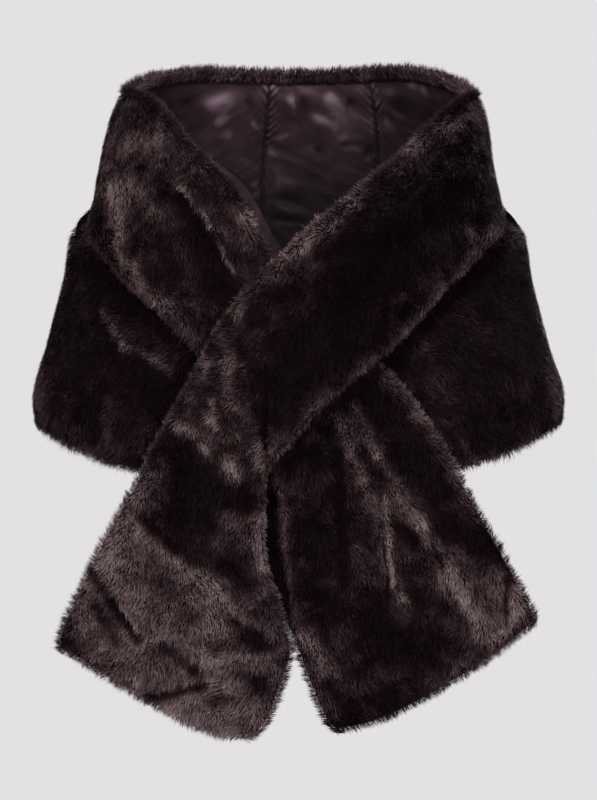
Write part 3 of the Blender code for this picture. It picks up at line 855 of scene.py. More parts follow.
def noise(points, size, seed):
    """Smooth noise from -1 to 1 that changes over about this size."""
    at = points / size + LATTICE_START + LATTICE_STEP * seed
    cell = np.floor(at).astype(np.int64)
    part = smooth(at - cell)
    total = np.zeros(points.shape[:-1])
    for corner in range(8):
        step = np.array([corner & 1, corner >> 1 & 1, corner >> 2 & 1])
        weight = np.prod(np.where(step, part, 1.0 - part), axis=-1)
        total += weight * mixed_bits(cell + step, seed)
    return total


def uneven(points, what):
    """One of the stole's smooth unevennesses at these points."""
    amount, size, seed = UNEVEN[what]
    return amount * noise(points, size, seed)


def stray(rng, what, count):
    """How far each of a number of hairs strays from its neighbours."""
    return STRAY[what] * rng.standard_normal(count)


def brushed(points, strokes):
    """The painted sheen and shade that brushing gives the nap at these points, and how far its small creases
    lift them.
    """
    shade = np.zeros(points.shape[:-1])
    lift = np.zeros(points.shape[:-1])
    for from_x, from_z, to_x, to_z, half_width, tone, height in strokes:
        _, distance = line_shares(points, from_x, from_z, to_x, to_z)
        touch = np.exp(-((distance / half_width) ** 2))
        shade += tone * touch
        lift += height * touch
    return np.clip(shade, -1.0, 1.0), lift


def cloth(name, surface, side, reach, width, **options):
    """What a piece of the stole is worked out from.

    Its surface gives points for s, millimetres along it, and v, the share of the way across it. Its outer
    face lies on the hand of them that its side says. It is calm, without folds, up to calm_v, and hidden by
    another piece over the stretch of s given there.
    """
    piece = {
        "name": name,
        "surface": surface,
        "side": side,
        "reach": reach,
        "width": width,
        "seams": (),
        "calm_v": -1.0,
        "open_end": True,
        "hidden": (0.0, 0.0),
    }
    piece.update(options)
    return piece


def face(piece, s, v):
    """Points of a piece's folded outer face, and its outward directions."""
    points = piece["surface"](s, v)
    normals = face_normals(piece["surface"], piece["side"], s, v, piece["seams"])
    started = smooth((v - piece["calm_v"]) / FOLD_START_SHARE + 1.0)
    lift = fold_heights(points, FOLDS[piece["name"]]) * started
    lift += brushed(points, BRUSHED_SHEEN[piece["name"]])[1] * started
    return points + normals * lift[..., None], normals


def edge_places(length, count, round_start, round_end):
    """Places along a length, close together where an edge is rounded."""
    start = np.array(RIM_STEPS if round_start else (0.0,))
    end = np.array(RIM_STEPS if round_end else (0.0,))
    inner = np.linspace(start[-1], length - end[-1], count + 1)[1:-1]
    return np.concatenate([start, inner, length - end[::-1]])


def bed_places(piece):
    """Places of a fur piece's cloth: s, v, distance across it, breadth of each row, and where s ends."""
    start, end = piece["reach"]
    if piece["name"] != "back_panel":
        start = start - SEAM_LAP
    if piece["open_end"]:
        end = end - EDGE_INSET
    s_count = round((end - start) / BED_STEP)
    s_places = start + edge_places(end - start, s_count, False, piece["open_end"])
    breadth = piece["width"](s_places)[:, None]
    v_count = round(float(breadth.max()) / BED_STEP)
    rows = [edge_places(b - 2.0 * EDGE_INSET, v_count, True, True) for b in breadth[:, 0]]
    across = EDGE_INSET + np.array(rows)
    s = np.repeat(s_places[:, None], across.shape[1], axis=1)
    return s, across / breadth, across, breadth, end


def evenly_paced(piece, s, v):
    """Places along a tail, moved so that its cloth stops as far inside its slanting end at both edges."""
    to_end = piece["reach"][1] - s
    step = piece["surface"](s + to_end, v) - piece["surface"](s + to_end - 1.0, v)
    stretch = np.maximum(np.linalg.norm(step, axis=-1), LEAST_STRETCH)
    return s + to_end * (1.0 - 1.0 / stretch) * np.exp(-to_end / STRETCH_REACH)


def bed_faces(piece):
    """The outer and inner faces of a fur piece's cloth with its dense under-fur, rounded at the edges.

    Besides them, where its edges are turned in, and the fold shade of its inner face: a painted highlight
    where its wrinkles stand out.
    """
    s, v, across, breadth, end = bed_places(piece)
    in_s = np.clip(BED_RIM - (end - s), 0.0, BED_RIM) * piece["open_end"]
    from_edge = np.minimum(across, breadth - across) - EDGE_INSET
    in_v = np.clip(BED_RIM - from_edge, 0.0, BED_RIM)
    in_rim = np.clip(np.hypot(in_s, in_v), 0.0, RIM_SHARE * BED_RIM)
    rounded = BED_RIM - np.sqrt(BED_RIM**2 - in_rim**2)
    turned = (from_edge < TURNED_HEM) | ((end - s < TURNED_HEM) & piece["open_end"])
    if piece["open_end"]:
        s = evenly_paced(piece, s, v)
    points, normals = face(piece, s, v)
    bumps = uneven(points, "under-fur tufts") + uneven(points, "under-fur swells")
    for seam in piece["seams"]:
        from_notch = np.hypot((s - seam) / NOTCH_LENGTH, (points[..., 2] - NOTCH_HEIGHT) / NOTCH_REACH)
        bumps += NOTCH_FILL * np.exp(-(from_notch**2))
    outer = points - normals * (BED_DEPTH + rounded - bumps * (rounded < FLAT_UNDER))[..., None]
    slack = INSIDE_LIFT + uneven(points, "wrinkles inside") + uneven(points, "creases inside")
    wrinkles = np.where(turned, 0.0, slack)
    inner = points - normals * (FUR_WALL - rounded - wrinkles)[..., None]
    flat_fold_shade, wrinkle_fold_shade = INSIDE_FOLD_SHADE
    return outer, inner, turned, flat_fold_shade + wrinkle_fold_shade * wrinkles


def grid_quads(rows, columns, first):
    """The faces of a grid of points whose numbers start at first."""
    at = first + np.arange(rows * columns).reshape(rows, columns)
    corners = (at[:-1, :-1], at[1:, :-1], at[1:, 1:], at[:-1, 1:])
    return np.stack([corner.ravel() for corner in corners], axis=1)


def rim_loop(rows, columns):
    """Numbers of a grid's edge points, in order round it."""
    at = np.arange(rows * columns).reshape(rows, columns)
    return np.concatenate([at[0, :-1], at[:-1, -1], at[-1, :0:-1], at[:0:-1, 0]])


def flat_mesh(name, points, faces):
    """A mesh from an array of points in millimetres and one of faces with the same number of corners."""
    mesh = bpy.data.meshes.new(name)
    mesh.vertices.add(len(points))
    mesh.vertices.foreach_set("co", (points * MM).astype(np.float32).ravel())
    mesh.loops.add(faces.size)
    mesh.loops.foreach_set("vertex_index", faces.astype(np.int32).ravel())
    mesh.polygons.add(len(faces))
    starts = np.arange(len(faces), dtype=np.int32) * faces.shape[1]
    mesh.polygons.foreach_set("loop_start", starts)
    mesh.update(calc_edges=True)
    mesh.shade_smooth()
    return mesh


def show(name, mesh):
    made = bpy.data.objects.new(name, mesh)
    bpy.context.scene.collection.objects.link(made)
    return made


def wall_piece(name, outer, inner, side, finishes, fold, turned=None):
    """A closed wall between two grids of points, with the last finish inside, save at its turned edges.

    Its fold shade values paint shade and highlight into its finish by how far each point stands out to the
    light.
    """
    rows, columns = outer.shape[:2]
    count = rows * columns
    rim = rim_loop(rows, columns)
    following = np.roll(rim, -1)
    faces = np.concatenate([
        grid_quads(rows, columns, 0),
        grid_quads(rows, columns, count)[:, ::-1],
        np.stack([rim, rim + count, following + count, following], axis=1),
    ])
    if side < 0:
        faces = faces[:, ::-1]
    mesh = flat_mesh(name, np.concatenate([outer.reshape(-1, 3), inner.reshape(-1, 3)]), faces)
    for finish in finishes:
        mesh.materials.append(finish)
    quads = (rows - 1) * (columns - 1)
    slots = np.zeros(len(faces), np.int32)
    slots[quads : 2 * quads] = len(finishes) - 1
    if turned is not None:
        slots[quads : 2 * quads][turned[:-1, :-1].ravel() & turned[1:, 1:].ravel()] = 0
    mesh.polygons.foreach_set("material_index", slots)
    folds = np.clip(fold, 0.0, 1.0).astype(np.float32).ravel()
    mesh.attributes.new("fold", "FLOAT", "POINT").data.foreach_set("value", np.tile(folds, 2))
    return show(name, mesh)


def ground_of(piece):
    """A piece's outer face on an even grid: points, their directions, s and its stretch, and breadth."""
    s_places = np.linspace(*piece["reach"], GROUND_ROWS)
    s, v = np.meshgrid(s_places, np.linspace(0.0, 1.0, GROUND_COLUMNS), indexing="ij")
    points, normals = face(piece, s, v)
    return {
        "points": points,
        "normals": normals,
        "along": unit(np.gradient(points, axis=0)),
        "across": unit(np.gradient(points, axis=1)),
        "s": s,
        "stretch": np.linalg.norm(np.gradient(points, s_places, axis=0), axis=-1),
        "breadth": np.repeat(piece["width"](s_places)[:, None], GROUND_COLUMNS, axis=1),
    }


def read(grid, rows, columns):
    """Values of a grid between its points."""
    row = np.clip(rows.astype(int), 0, GROUND_ROWS - 2)
    column = np.clip(columns.astype(int), 0, GROUND_COLUMNS - 2)
    down, right = rows - row, columns - column
    if grid.ndim == 3:
        down, right = down[:, None], right[:, None]
    top = grid[row, column] * (1 - right) + grid[row, column + 1] * right
    low = grid[row + 1, column] * (1 - right) + grid[row + 1, column + 1] * right
    return top * (1 - down) + low * down


def spread_places(piece, ground, count, rng):
    """Rows and columns of the ground, evenly spread by area and fewer where another piece lies on it."""
    points = ground["points"]
    s = ground["s"][:-1, :-1]
    down = points[1:, :-1] - points[:-1, :-1]
    right = points[:-1, 1:] - points[:-1, :-1]
    areas = np.linalg.norm(np.cross(down, right), axis=-1)
    hidden_from, hidden_to = piece["hidden"]
    areas[(s > hidden_from) & (s < hidden_to)] *= UNDER_LAYER_SHARE
    v = np.linspace(0.0, 1.0, GROUND_COLUMNS)[:-1]
    areas[(v < piece["calm_v"] - EMERGE_SHARE) & (s > TUCK_REACH)] *= TUCKED_SHARE
    summed = np.cumsum(areas.ravel())
    chosen = np.searchsorted(summed, (np.arange(count) + rng.random(count)) / count * summed[-1])
    row, column = np.divmod(np.clip(chosen, 0, areas.size - 1), areas.shape[1])
    return row + rng.random(count), column + rng.random(count)


def hair_places(piece, ground, rng):
    """Where a piece's hairs grow: what the ground says there, and how far each of its edges is."""
    rows, columns = spread_places(piece, ground, HAIRS[piece["name"]], rng)
    at = {key: read(ground[key], rows, columns) for key in ("points", "breadth", "s", "stretch")}
    for key in ("normals", "along", "across"):
        at[key] = unit(read(ground[key], rows, columns))
    v = columns / (GROUND_COLUMNS - 1)
    at["from_top"] = v * at["breadth"]
    at["from_low"] = (1.0 - v) * at["breadth"]
    at["to_end"] = np.full_like(v, FAR)
    if piece["open_end"]:
        at["to_end"] = (piece["reach"][1] - at["s"]) * at["stretch"]
    at["edge"] = np.minimum(np.minimum(at["from_top"], at["from_low"]), at["to_end"])
    return at


def nap_ways(piece, at, swirl, rng):
    """The direction in which each hair lies down: the nap's own, and outwards at the edges."""
    _, _, at_seam, settled = NAPS[piece["name"]]
    along, across, normals = at["along"], at["across"], at["normals"]
    nap = np.radians(at_seam + (settled - at_seam) * smooth(at["s"] / NAP_SETTLES))
    way = along * np.cos(nap)[:, None] + across * np.sin(nap)[:, None]
    up, low, end = (smooth(1.0 - at[key] / FLARE)[:, None] for key in ("from_top", "from_low", "to_end"))
    held = 1.0 - FLARE_LOSS * np.maximum(np.maximum(up, low), end)
    way = unit(way * held + across * (low - up) + along * end)
    turn = uneven(at["points"], "nap turn") + SWIRL_TURN * swirl + stray(rng, "nap turn", len(swirl))
    return way * np.cos(turn)[:, None] + np.cross(normals, way) * np.sin(turn)[:, None]


def hair_tones(piece, at, swirl, rng):
    """Each hair's tone: painted sheen and shade by its piece and its brushing, random small patches, painted
    highlight and shade by folds, and painted highlight at edges.
    """
    points = at["points"]
    shade = brushed(points, BRUSHED_SHEEN[piece["name"]])[0]
    drawn = points + at["along"] * (SWIRL_DRAW * swirl)[:, None]
    drawn = drawn + at["across"] * uneven(points, "patch draw")[:, None]
    patches = np.tanh(uneven(drawn, "patch tone")) + uneven(points, "broad tone") + SWIRL_TONE * swirl
    tone = NAPS[piece["name"]][0] + SHADE_TONE * shade
    tone += PATCH_TONE * patches * (1.0 - PATCH_LOSS * np.abs(shade))
    # Painted highlight and shade by folds, and painted highlight near the edges.
    fold_light_and_shade = FOLD_LIGHT_AND_SHADE * fold_heights(points, FOLDS[piece["name"]])
    tone += fold_light_and_shade + EDGE_HIGHLIGHT * smooth(1.0 - at["edge"] / EDGE_HIGHLIGHT_REACH)
    tone += uneven(points, "fine tone") + stray(rng, "fine tone", len(swirl))
    return tone


def hair_strands(piece, ground, rng):
    """Roots, middles and tips of a piece's hairs, its normals there, and the hairs' shades and widths."""
    at = hair_places(piece, ground, rng)
    points, normals = at["points"], at["normals"]
    count = len(points)
    swirl = uneven(points, "nap swirl")
    way = nap_ways(piece, at, swirl, rng)
    lean = NAPS[piece["name"]][1] + uneven(points, "nap lean") + stray(rng, "nap lean", count)
    lower, upper = LOWER_LEAN * np.radians(lean), UPPER_LEAN * np.radians(lean)
    rise = 0.5 * (np.cos(lower) + np.cos(upper))
    own_length = 1.0 + uneven(points, "hair length") + stray(rng, "hair length", count)
    half_length = 0.5 * (np.clip(ROOT_DEPTH / rise, 0.0, HAIR_LENGTH) * own_length)[:, None]
    root = points - normals * ROOT_DEPTH
    middle = root + (np.cos(lower)[:, None] * normals + np.sin(lower)[:, None] * way) * half_length
    clump = at["along"] * uneven(points, "clump along")[:, None]
    clump = clump + at["across"] * uneven(points, "clump across")[:, None]
    tip = middle + (np.cos(upper)[:, None] * normals + np.sin(upper)[:, None] * way) * half_length
    tip = tip + CLUMPING * clump
    tone = hair_tones(piece, at, swirl, rng)
    half_width = np.full(count, HAIR_HALF_WIDTH)
    kept = at["edge"] > EDGE_INSET + EDGE_MARGIN
    return [part[kept] for part in (root, middle, tip, normals, tone, half_width)]


def places_along(line, count, rng, in_order=False):
    """Even places along a line of points: the point before each, and the share of the way to the next."""
    walked = lengths_between(line)
    chosen = rng.random(count)
    if in_order:
        chosen = np.sort(chosen)
    at = np.interp(chosen * walked[-1], walked, np.arange(len(walked)))
    before = np.clip(at.astype(int), 0, len(walked) - 2)
    return before, (at - before)[:, None]


def rim_strands(piece, ground, edge, rng):
    """Hairs that stand out all round an edge of a piece's cloth: top, low or end."""
    at_edge = {"top": np.s_[:, 0], "low": np.s_[:, -1], "end": np.s_[GROUND_ROWS - 1]}[edge]
    line = {key: ground[key][at_edge] for key in ("points", "normals", "along", "across")}
    outward = {"top": -1.0 * line["across"], "low": line["across"], "end": line["along"]}[edge]
    upstanding = edge == "top" and piece["name"] == "back_panel"
    count = int(lengths_between(line["points"])[-1] * RIM_HAIRS * (UPSTANDING_HAIRS if upstanding else 1.0))
    before, part = places_along(line["points"], count, rng, in_order=True)

    def between(values):
        return values[before] * (1.0 - part) + values[before + 1] * part

    points, normals = between(line["points"]), unit(between(line["normals"]))
    outward = unit(between(outward))
    beside = np.cross(normals, outward)
    angle = np.radians(rng.uniform(*RIM_ANGLES, count))
    spread = np.cos(angle)[:, None] * outward + np.sin(angle)[:, None] * normals
    sway = uneven(points, "rim sway") + uneven(points, "rim tufts") + stray(rng, "rim sway", count)
    way = unit(spread + beside * sway[:, None])
    own_length = 1.0 + uneven(points, "rim length") + stray(rng, "rim length", count)
    length = (RIM_LENGTH + RIM_LENGTH_OUT * np.cos(angle) + UPSTANDING_LENGTH * upstanding) * own_length
    centre = points - outward * (EDGE_INSET + BED_RIM) - normals * RIM_ROOT_DEPTH
    root = centre + spread * (RIM_ROOT_OUT * BED_RIM)
    middle = root + unit(spread + 0.5 * way) * (0.5 * length)[:, None]
    tip = middle + way * (0.5 * length)[:, None]
    shade = brushed(points, BRUSHED_SHEEN[piece["name"]])[0]
    # Painted highlight along the edges, with part of the painted sheen and shade of the brushing.
    tone = NAPS[piece["name"]][0] + RIM_HIGHLIGHT + RIM_SHADE_TONE * shade + uneven(points, "rim tone")
    if upstanding:
        tone += UPSTANDING_HIGHLIGHT + uneven(points, "upstanding tone")
    elif edge == "low":
        tone += LOW_RIM_HIGHLIGHT
    tone += stray(rng, "rim tone", count)
    half_width = np.full_like(tone, RIM_HALF_WIDTH * (UPSTANDING_WIDTH if upstanding else 1.0))
    return [root, middle, tip, unit(np.cross(way, beside)), tone, half_width]


def turned_strands(ground, rng):
    """Hairs on the fur that is turned in over the back's rim, standing up and towards the wearer."""
    line, normals, across = (ground[key][:, 0] for key in ("points", "normals", "across"))
    count = int(lengths_between(line)[-1] * TURNED_HAIRS)
    before, part = places_along(line, count, rng)
    points = line[before] * (1.0 - part) + line[before + 1] * part
    normals, down = normals[before], unit(across[before])
    drop = rng.uniform(TURNED_START, TURNED_HEM, count)[:, None]
    root = points + down * (drop + EDGE_INSET) - normals * TURNED_ROOT_DEPTH
    beside = np.cross(normals, down)
    sway = uneven(points, "turned sway") + uneven(root, "turned tufts") + stray(rng, "turned sway", count)
    leaning = rng.uniform(*TURNED_LEANS, count)[:, None]
    way = unit(-down - normals * leaning + beside * sway[:, None])
    own_length = 1.0 + uneven(points, "turned length") + stray(rng, "turned length", count)
    half_length = 0.5 * (TURNED_LENGTH * own_length)[:, None]
    middle = root + unit(way - TURNED_START_LEAN * normals) * half_length
    tip = middle + unit(way + TURNED_TIP_LEAN * normals) * half_length
    # Painted highlight: the turned hairs' tone is raised as though lit from above.
    tone = TURNED_LIT_TONE + uneven(points, "turned tone") + stray(rng, "turned tone", count)
    return [root, middle, tip, -normals, tone, np.full_like(tone, TURNED_WIDTH * RIM_HALF_WIDTH)]


def pile_piece(piece, finish, rng):
    """All the hairs of a piece, each two triangles from its root over a bend to its tip."""
    ground = ground_of(piece)
    groups = [hair_strands(piece, ground, rng)]
    edges = ["low"]
    if piece["calm_v"] < 0.0:
        edges.insert(0, "top")
    if piece["open_end"]:
        edges.append("end")
    for edge in edges:
        groups.append(rim_strands(piece, ground, edge, rng))
    if piece["name"] == "back_panel":
        groups.append(turned_strands(ground, rng))
    root, middle, tip, normals, tone, width = (np.concatenate(parts) for parts in zip(*groups))
    count = len(root)
    roll = stray(rng, "roll", count)[:, None]
    run = unit(tip - root)
    sideways = unit(np.cross(run, normals))
    sideways = sideways * np.cos(roll) + np.cross(run, sideways) * np.sin(roll)
    half = sideways * (width * rng.uniform(*HAIR_WIDTHS, count))[:, None]
    points = np.stack([root, middle - half, middle + half, tip], axis=1).reshape(-1, 3)
    firsts = 4 * np.arange(count)[:, None, None]
    faces = (firsts + np.array([[0, 2, 1], [1, 2, 3]])).reshape(-1, 3)
    mesh = flat_mesh(piece["name"] + "_pile", points, faces)
    # The hairs' tones, with their painted sheen and shade, go to the finish and to the colour map.
    tones = np.repeat(np.clip(tone, *TONE_LIMITS), 4).astype(np.float32)
    heights = np.tile(np.array([0.0, 0.5, 0.5, 1.0], np.float32), count)
    for attribute, values in (("tone", tones), ("height", heights)):
        mesh.attributes.new(attribute, "FLOAT", "POINT").data.foreach_set("value", values)
    apart = np.tile(np.array(BAKE_WIDTHS, np.float32), count)
    places = np.stack([tones + apart, heights], axis=1)
    corners = places[faces.ravel()].astype(np.float32)
    mesh.uv_layers.new(name="OFBake").data.foreach_set("uv", corners.ravel())
    mesh.materials.append(finish)
    return show(piece["name"] + "_pile", mesh)


def fur_cloths():
    """Every fur piece of the stole, each as its surface and the stretch of it that the piece takes up."""
    half_gap = SEAM_GAP / 2
    back, back_length = back_surface()
    reach = half_gap, back_length - half_gap
    seams = 0.0, back_length

    def back_width(s):
        return np.full_like(s, BACK_DROP)

    def drape_width(s):
        return np.full_like(s, DRAPE_DROP)

    made = [cloth("back_panel", back, 1, reach, back_width, seams=seams, open_end=False)]
    for side, (band, tail, drape), (band_rows, tail_rows, drape_rows), crossed, tail_hidden in FUR_LENGTHS:
        surface, width, knots = band_surface(band_rows + tail_rows, side)
        split = knots[len(band_rows) - 1]
        reach = half_gap, split - half_gap
        hidden = crossed * split, split
        seams = (0.0,)
        made.append(
            cloth(band, surface, side, reach, width, seams=seams, open_end=False, hidden=hidden, knots=knots)
        )
        reach = split + half_gap, knots[-1]
        hidden = split, split + tail_hidden
        made.append(cloth(tail, surface, side, reach, width, hidden=hidden))
        fall, length = drape_surface(surface, width, knots, FOLDS[band], drape_rows, side)
        reach = half_gap, length
        made.append(cloth(drape, fall, side, reach, drape_width, seams=seams, calm_v=CALM_SHARE))
    return {piece["name"]: piece for piece in made}


class Value:
    """A shader socket that takes part in sums like a number."""

    def __init__(self, finish, socket):
        self.finish = finish
        self.socket = socket

    def math(self, operation, first, second):
        settings = {"operation": operation}
        return self.finish.add("ShaderNodeMath", settings, {0: first, 1: second})

    def __add__(self, other):
        return self.math("ADD", self, other)

    def __radd__(self, other):
        return self.math("ADD", other, self)

    def __sub__(self, other):
        return self.math("SUBTRACT", self, other)

    def __rsub__(self, other):
        return self.math("SUBTRACT", other, self)

    def __mul__(self, other):
        return self.math("MULTIPLY", self, other)

    def __rmul__(self, other):
        return self.math("MULTIPLY", other, self)

    def __pow__(self, other):
        return self.math("POWER", self, other)


class Finish:
    """A material whose one Principled shader is fed by sockets and plain values."""

    def __init__(self, name, **constants):
        self.material = bpy.data.materials.new(name)
        self.material.use_nodes = True
        self.tree = self.material.node_tree
        self.tree.nodes.clear()
        self.shader = self.tree.nodes.new("ShaderNodeBsdfPrincipled")
        output = self.tree.nodes.new("ShaderNodeOutputMaterial")
        self.tree.links.new(self.shader.outputs[0], output.inputs["Surface"])
        for key, value in constants.items():
            self.feed(self.shader.inputs[key.replace("_", " ")], value)

    def feed(self, socket, value):
        if isinstance(value, Value):
            self.tree.links.new(value.socket, socket)
        else:
            socket.default_value = value

    def set_stops(self, elements, stops):
        while len(elements) < len(stops):
            elements.new(0.5)
        for element, (place, colour) in zip(elements, stops):
            element.position = place
            element.color = (*colour, 1.0)

    def add(self, kind, settings, inputs, output=0):
        """A node with its settings made first, then its sockets fed. It gives back one of its outputs."""
        node = self.tree.nodes.new(kind)
        for key, value in settings.items():
            if key == "stops":
                self.set_stops(node.color_ramp.elements, value)
            else:
                setattr(node, key, value)
        for key, value in inputs.items():
            self.feed(node.inputs[key], value)
        return Value(self, node.outputs[output])

    def ramp(self, stops, amount):
        """Colours of a table of (place, colour), read by an amount."""
        return self.add("ShaderNodeValToRGB", {"stops": stops}, {0: amount})

    def eased(self, amount, start, end, at_start, at_end):
        """A value that goes smoothly from one to another while an amount goes from start to end."""
        return self.add(
            "ShaderNodeMapRange",
            {"interpolation_type": "SMOOTHSTEP"},
            {"Value": amount, 1: start, 2: end, 3: at_start, 4: at_end},
        )

    def bump(self, strength, height):
        """A normal that follows a relief."""
        inputs = {"Strength": strength, "Distance": BUMP_DEPTH, "Height": height}
        return self.add("ShaderNodeBump", {}, inputs, "Normal")

    def grey(self, amount):
        return self.add("ShaderNodeCombineColor", {}, {0: amount, 1: amount, 2: amount})

    def attribute(self, name):
        return self.add("ShaderNodeAttribute", {"attribute_name": name}, {}, "Fac")

    def place(self):
        """Where a point lies in the object's own space, in metres."""
        return self.add("ShaderNodeTexCoord", {}, {}, "Object")

    def surface_noise(self, size, detail):
        """Noise in the object's own space that changes over about this many millimetres."""
        inputs = {"Vector": self.place(), "Scale": 1.0 / (size * MM), "Detail": detail}
        return self.add("ShaderNodeTexNoise", {}, inputs)

    def wear(self, **varying):
        """What varies over the surface, fed to the shader."""
        for key, value in varying.items():
            self.feed(self.shader.inputs[key.replace("_", " ")], value)
        return self.material


BUMP_DEPTH = 0.0012  # metres
# Noises of the finishes. Each is a size in millimetres, and how detailed it is.
TUFT_NOISE, FINE_NOISE = (7.0, 3.0), (1.4, 2.0)
CLOUD_NOISE, RIPPLE_NOISE, WEAVE_NOISE = (38.0, 3.0), (5.0, 2.0), (0.7, 1.0)
ROOT_TONE = 0.12  # share of a hair's colour that doesn't come from its tone
TIP_WEIGHT = 1.3  # hairs stay dark for longer than their length's share
# The hairs' colours from root to tip; the light end is painted sheen where the nap turns to the light.
PILE_COLOURS_AND_SHEEN = (
    (0.0, (0.0026, 0.0012, 0.0014)),
    (0.2, (0.0080, 0.0040, 0.0046)),
    (0.4, (0.031, 0.0175, 0.0192)),
    (0.65, (0.120, 0.080, 0.085)),
    (1.0, (0.410, 0.310, 0.325)),
)
BED_COLOURS = (
    (0.3, (0.0028, 0.0013, 0.0016)),
    (0.7, (0.0065, 0.0034, 0.0040)),
)
SATIN_GLINT = (1.0, 0.78, 0.88, 1.0)
# The satin's colours, read by its fold shade: the dark end is painted shade in creases, the light end a
# painted highlight on ridges.
SATIN_SHADED_COLOURS = (
    (0.0, (0.0030, 0.0015, 0.0020)),
    (0.35, (0.0112, 0.0058, 0.0072)),
    (0.55, (0.0205, 0.0113, 0.0138)),
    (1.0, (0.0850, 0.0570, 0.0720)),
)
# Painted shade: the lining's colour is darkened further down and aside inside, where less light reaches.
# Heights and the middle are in metres, and what is aside is given by the square of its distance from the
# middle.
SHADE_HEIGHTS = -0.085, 0.045
SHADE_MIDDLE_X = -0.02
SHADE_ASIDE = 0.004, 0.016
THREAD_COLOUR = (0.030, 0.018, 0.024, 1.0)


def pile_finish():
    """Plush hairs: dark at the root, with painted sheen at the tip where the nap turns to the light."""
    pile = Finish("plush hairs", Specular_IOR_Level=0.02)
    tone = pile.attribute("tone")
    height = pile.attribute("height")
    amount = height**TIP_WEIGHT * (ROOT_TONE + (1.0 - ROOT_TONE) * tone)
    return pile.wear(Base_Color=pile.ramp(PILE_COLOURS_AND_SHEEN, amount), Roughness=0.5 - 0.1 * tone)


def bed_finish():
    """The dense under-fur between the hairs."""
    bed = Finish("dense under-fur", Specular_IOR_Level=0.01)
    tufts = bed.surface_noise(*TUFT_NOISE)
    fine = bed.surface_noise(*FINE_NOISE)
    colour = bed.ramp(BED_COLOURS, tufts)
    return bed.wear(Base_Color=colour, Roughness=0.8 + 0.1 * fine, Normal=bed.bump(0.7, fine))


def satin_finish(name, gloss, depth_shade, side_shade):
    """Satin with a fine weave and slight unevenness, with painted shade further down and aside inside, and
    painted shade and highlight from its fold shade values.
    """
    satin = Finish(name, Specular_IOR_Level=gloss, Specular_Tint=SATIN_GLINT)
    cloudy = satin.surface_noise(*CLOUD_NOISE)
    rippled = satin.surface_noise(*RIPPLE_NOISE)
    weave = satin.surface_noise(*WEAVE_NOISE)
    # Painted shade and highlight from the fold shade values, with a random cloudiness.
    fold = satin.attribute("fold") + 0.6 * (cloudy - 0.5)
    place = satin.place()
    height = satin.add("ShaderNodeSeparateXYZ", {}, {0: place}, "Z")
    aside = satin.add("ShaderNodeSeparateXYZ", {}, {0: place}, "X") - SHADE_MIDDLE_X
    # Painted shade further down and aside inside.
    low_lit = satin.eased(height, *SHADE_HEIGHTS, depth_shade, 1.0)
    side_lit = satin.eased(aside * aside, *SHADE_ASIDE, 1.0, side_shade)
    lit = low_lit * side_lit
    shaded_colour = satin.add(
        "ShaderNodeMix",
        {"data_type": "RGBA", "blend_type": "MULTIPLY"},
        {"Factor": 1.0, 6: satin.ramp(SATIN_SHADED_COLOURS, fold), 7: satin.grey(lit)},
        2,
    )
    relief = rippled * 0.8 + weave * 0.15
    roughness = 0.62 - 0.2 * lit + 0.1 * cloudy
    return satin.wear(Base_Color=shaded_colour, Roughness=roughness, Normal=satin.bump(0.3, relief))


def thread_finish():
    """The lining's seam thread."""
    thread = Finish("seam thread", Specular_IOR_Level=0.3)
    return thread.wear(Base_Color=THREAD_COLOUR, Roughness=0.5)


def creased(points, creases):
    """How far a lining's creases stand out towards the wearer."""
    rise = np.zeros(points.shape[:-1])
    for from_x, from_z, to_x, to_z, height, half_width in creases:
        share, distance = line_shares(points, from_x, from_z, to_x, to_z)
        fade = smooth(np.minimum(share * CREASE_RISE, (1.0 - share) * CREASE_FALL) + CREASE_START)
        turn = (points[..., 0] - from_x) * (to_z - from_z) - (points[..., 2] - from_z) * (to_x - from_x)
        spread = half_width * np.where(turn * height > 0.0, CREASE_FLAT, CREASE_STEEP)
        rise += height * fade * np.exp(-((distance / spread) ** 2))
    return rise


def puckered(points, from_seam, side_of):
    """The small slanting puckers that leave the lining's seams."""
    heights, spans, sizes, reaches = np.array(PUCKERS[::-1], float).T
    z = points[..., 2]
    span, size, reach = (np.interp(z, heights, row) for row in (spans, sizes, reaches))
    down_seam = z - PUCKER_SLANT * from_seam
    line = np.stack([0.0 * z, side_of * PUCKER_SIDES, down_seam], axis=-1)
    wave = np.sin(2.0 * np.pi * down_seam / span + side_of + uneven(line, "pucker wave"))
    height = size * (PUCKER_SHARE + uneven(line, "pucker height")) * wave
    far = reach * (1.0 + uneven(line, "pucker reach"))
    return height * np.exp(-((from_seam / far) ** 2)) * smooth(from_seam / PUCKER_START)


def ridged(points):
    """Soft ridges of the back's lining, where it is pulled between its seams."""
    x, y, z = np.moveaxis(points, -1, 0)
    slant = z + RIDGE_SLANT * np.abs(x - RIDGE_MIDDLE_X)
    pulled = np.stack([RIDGE_STRETCH_X * x, RIDGE_STRETCH_Y * y, slant], axis=-1)
    ridges = RIDGES * (1.0 - np.abs(uneven(pulled, "lining ridges"))) ** RIDGE_SHARPNESS
    ridges += SMALL_RIDGES * (1.0 - np.abs(uneven(pulled, "lining small ridges"))) ** RIDGE_SHARPNESS
    return ridges


def lining_grid(start, end, bunching):
    """Places along a lining, closer together at its ends where they pucker."""
    places = np.linspace(0.0, 1.0, round((end - start) / LINING_STEP) + 1)
    if bunching:
        places = (1.0 - bunching) * places + bunching * smooth(places)
    return start + (end - start) * places


def lining_seams(back, back_length):
    """Where the seams of the back's lining lie, in millimetres round the back."""
    from_share, to_share, count = SEAM_SEARCH
    places = np.linspace(from_share, to_share, count) * back_length
    return np.interp(LINING_SEAMS_X, back(places, np.full_like(places, SEAM_LEVEL))[:, 0], places)


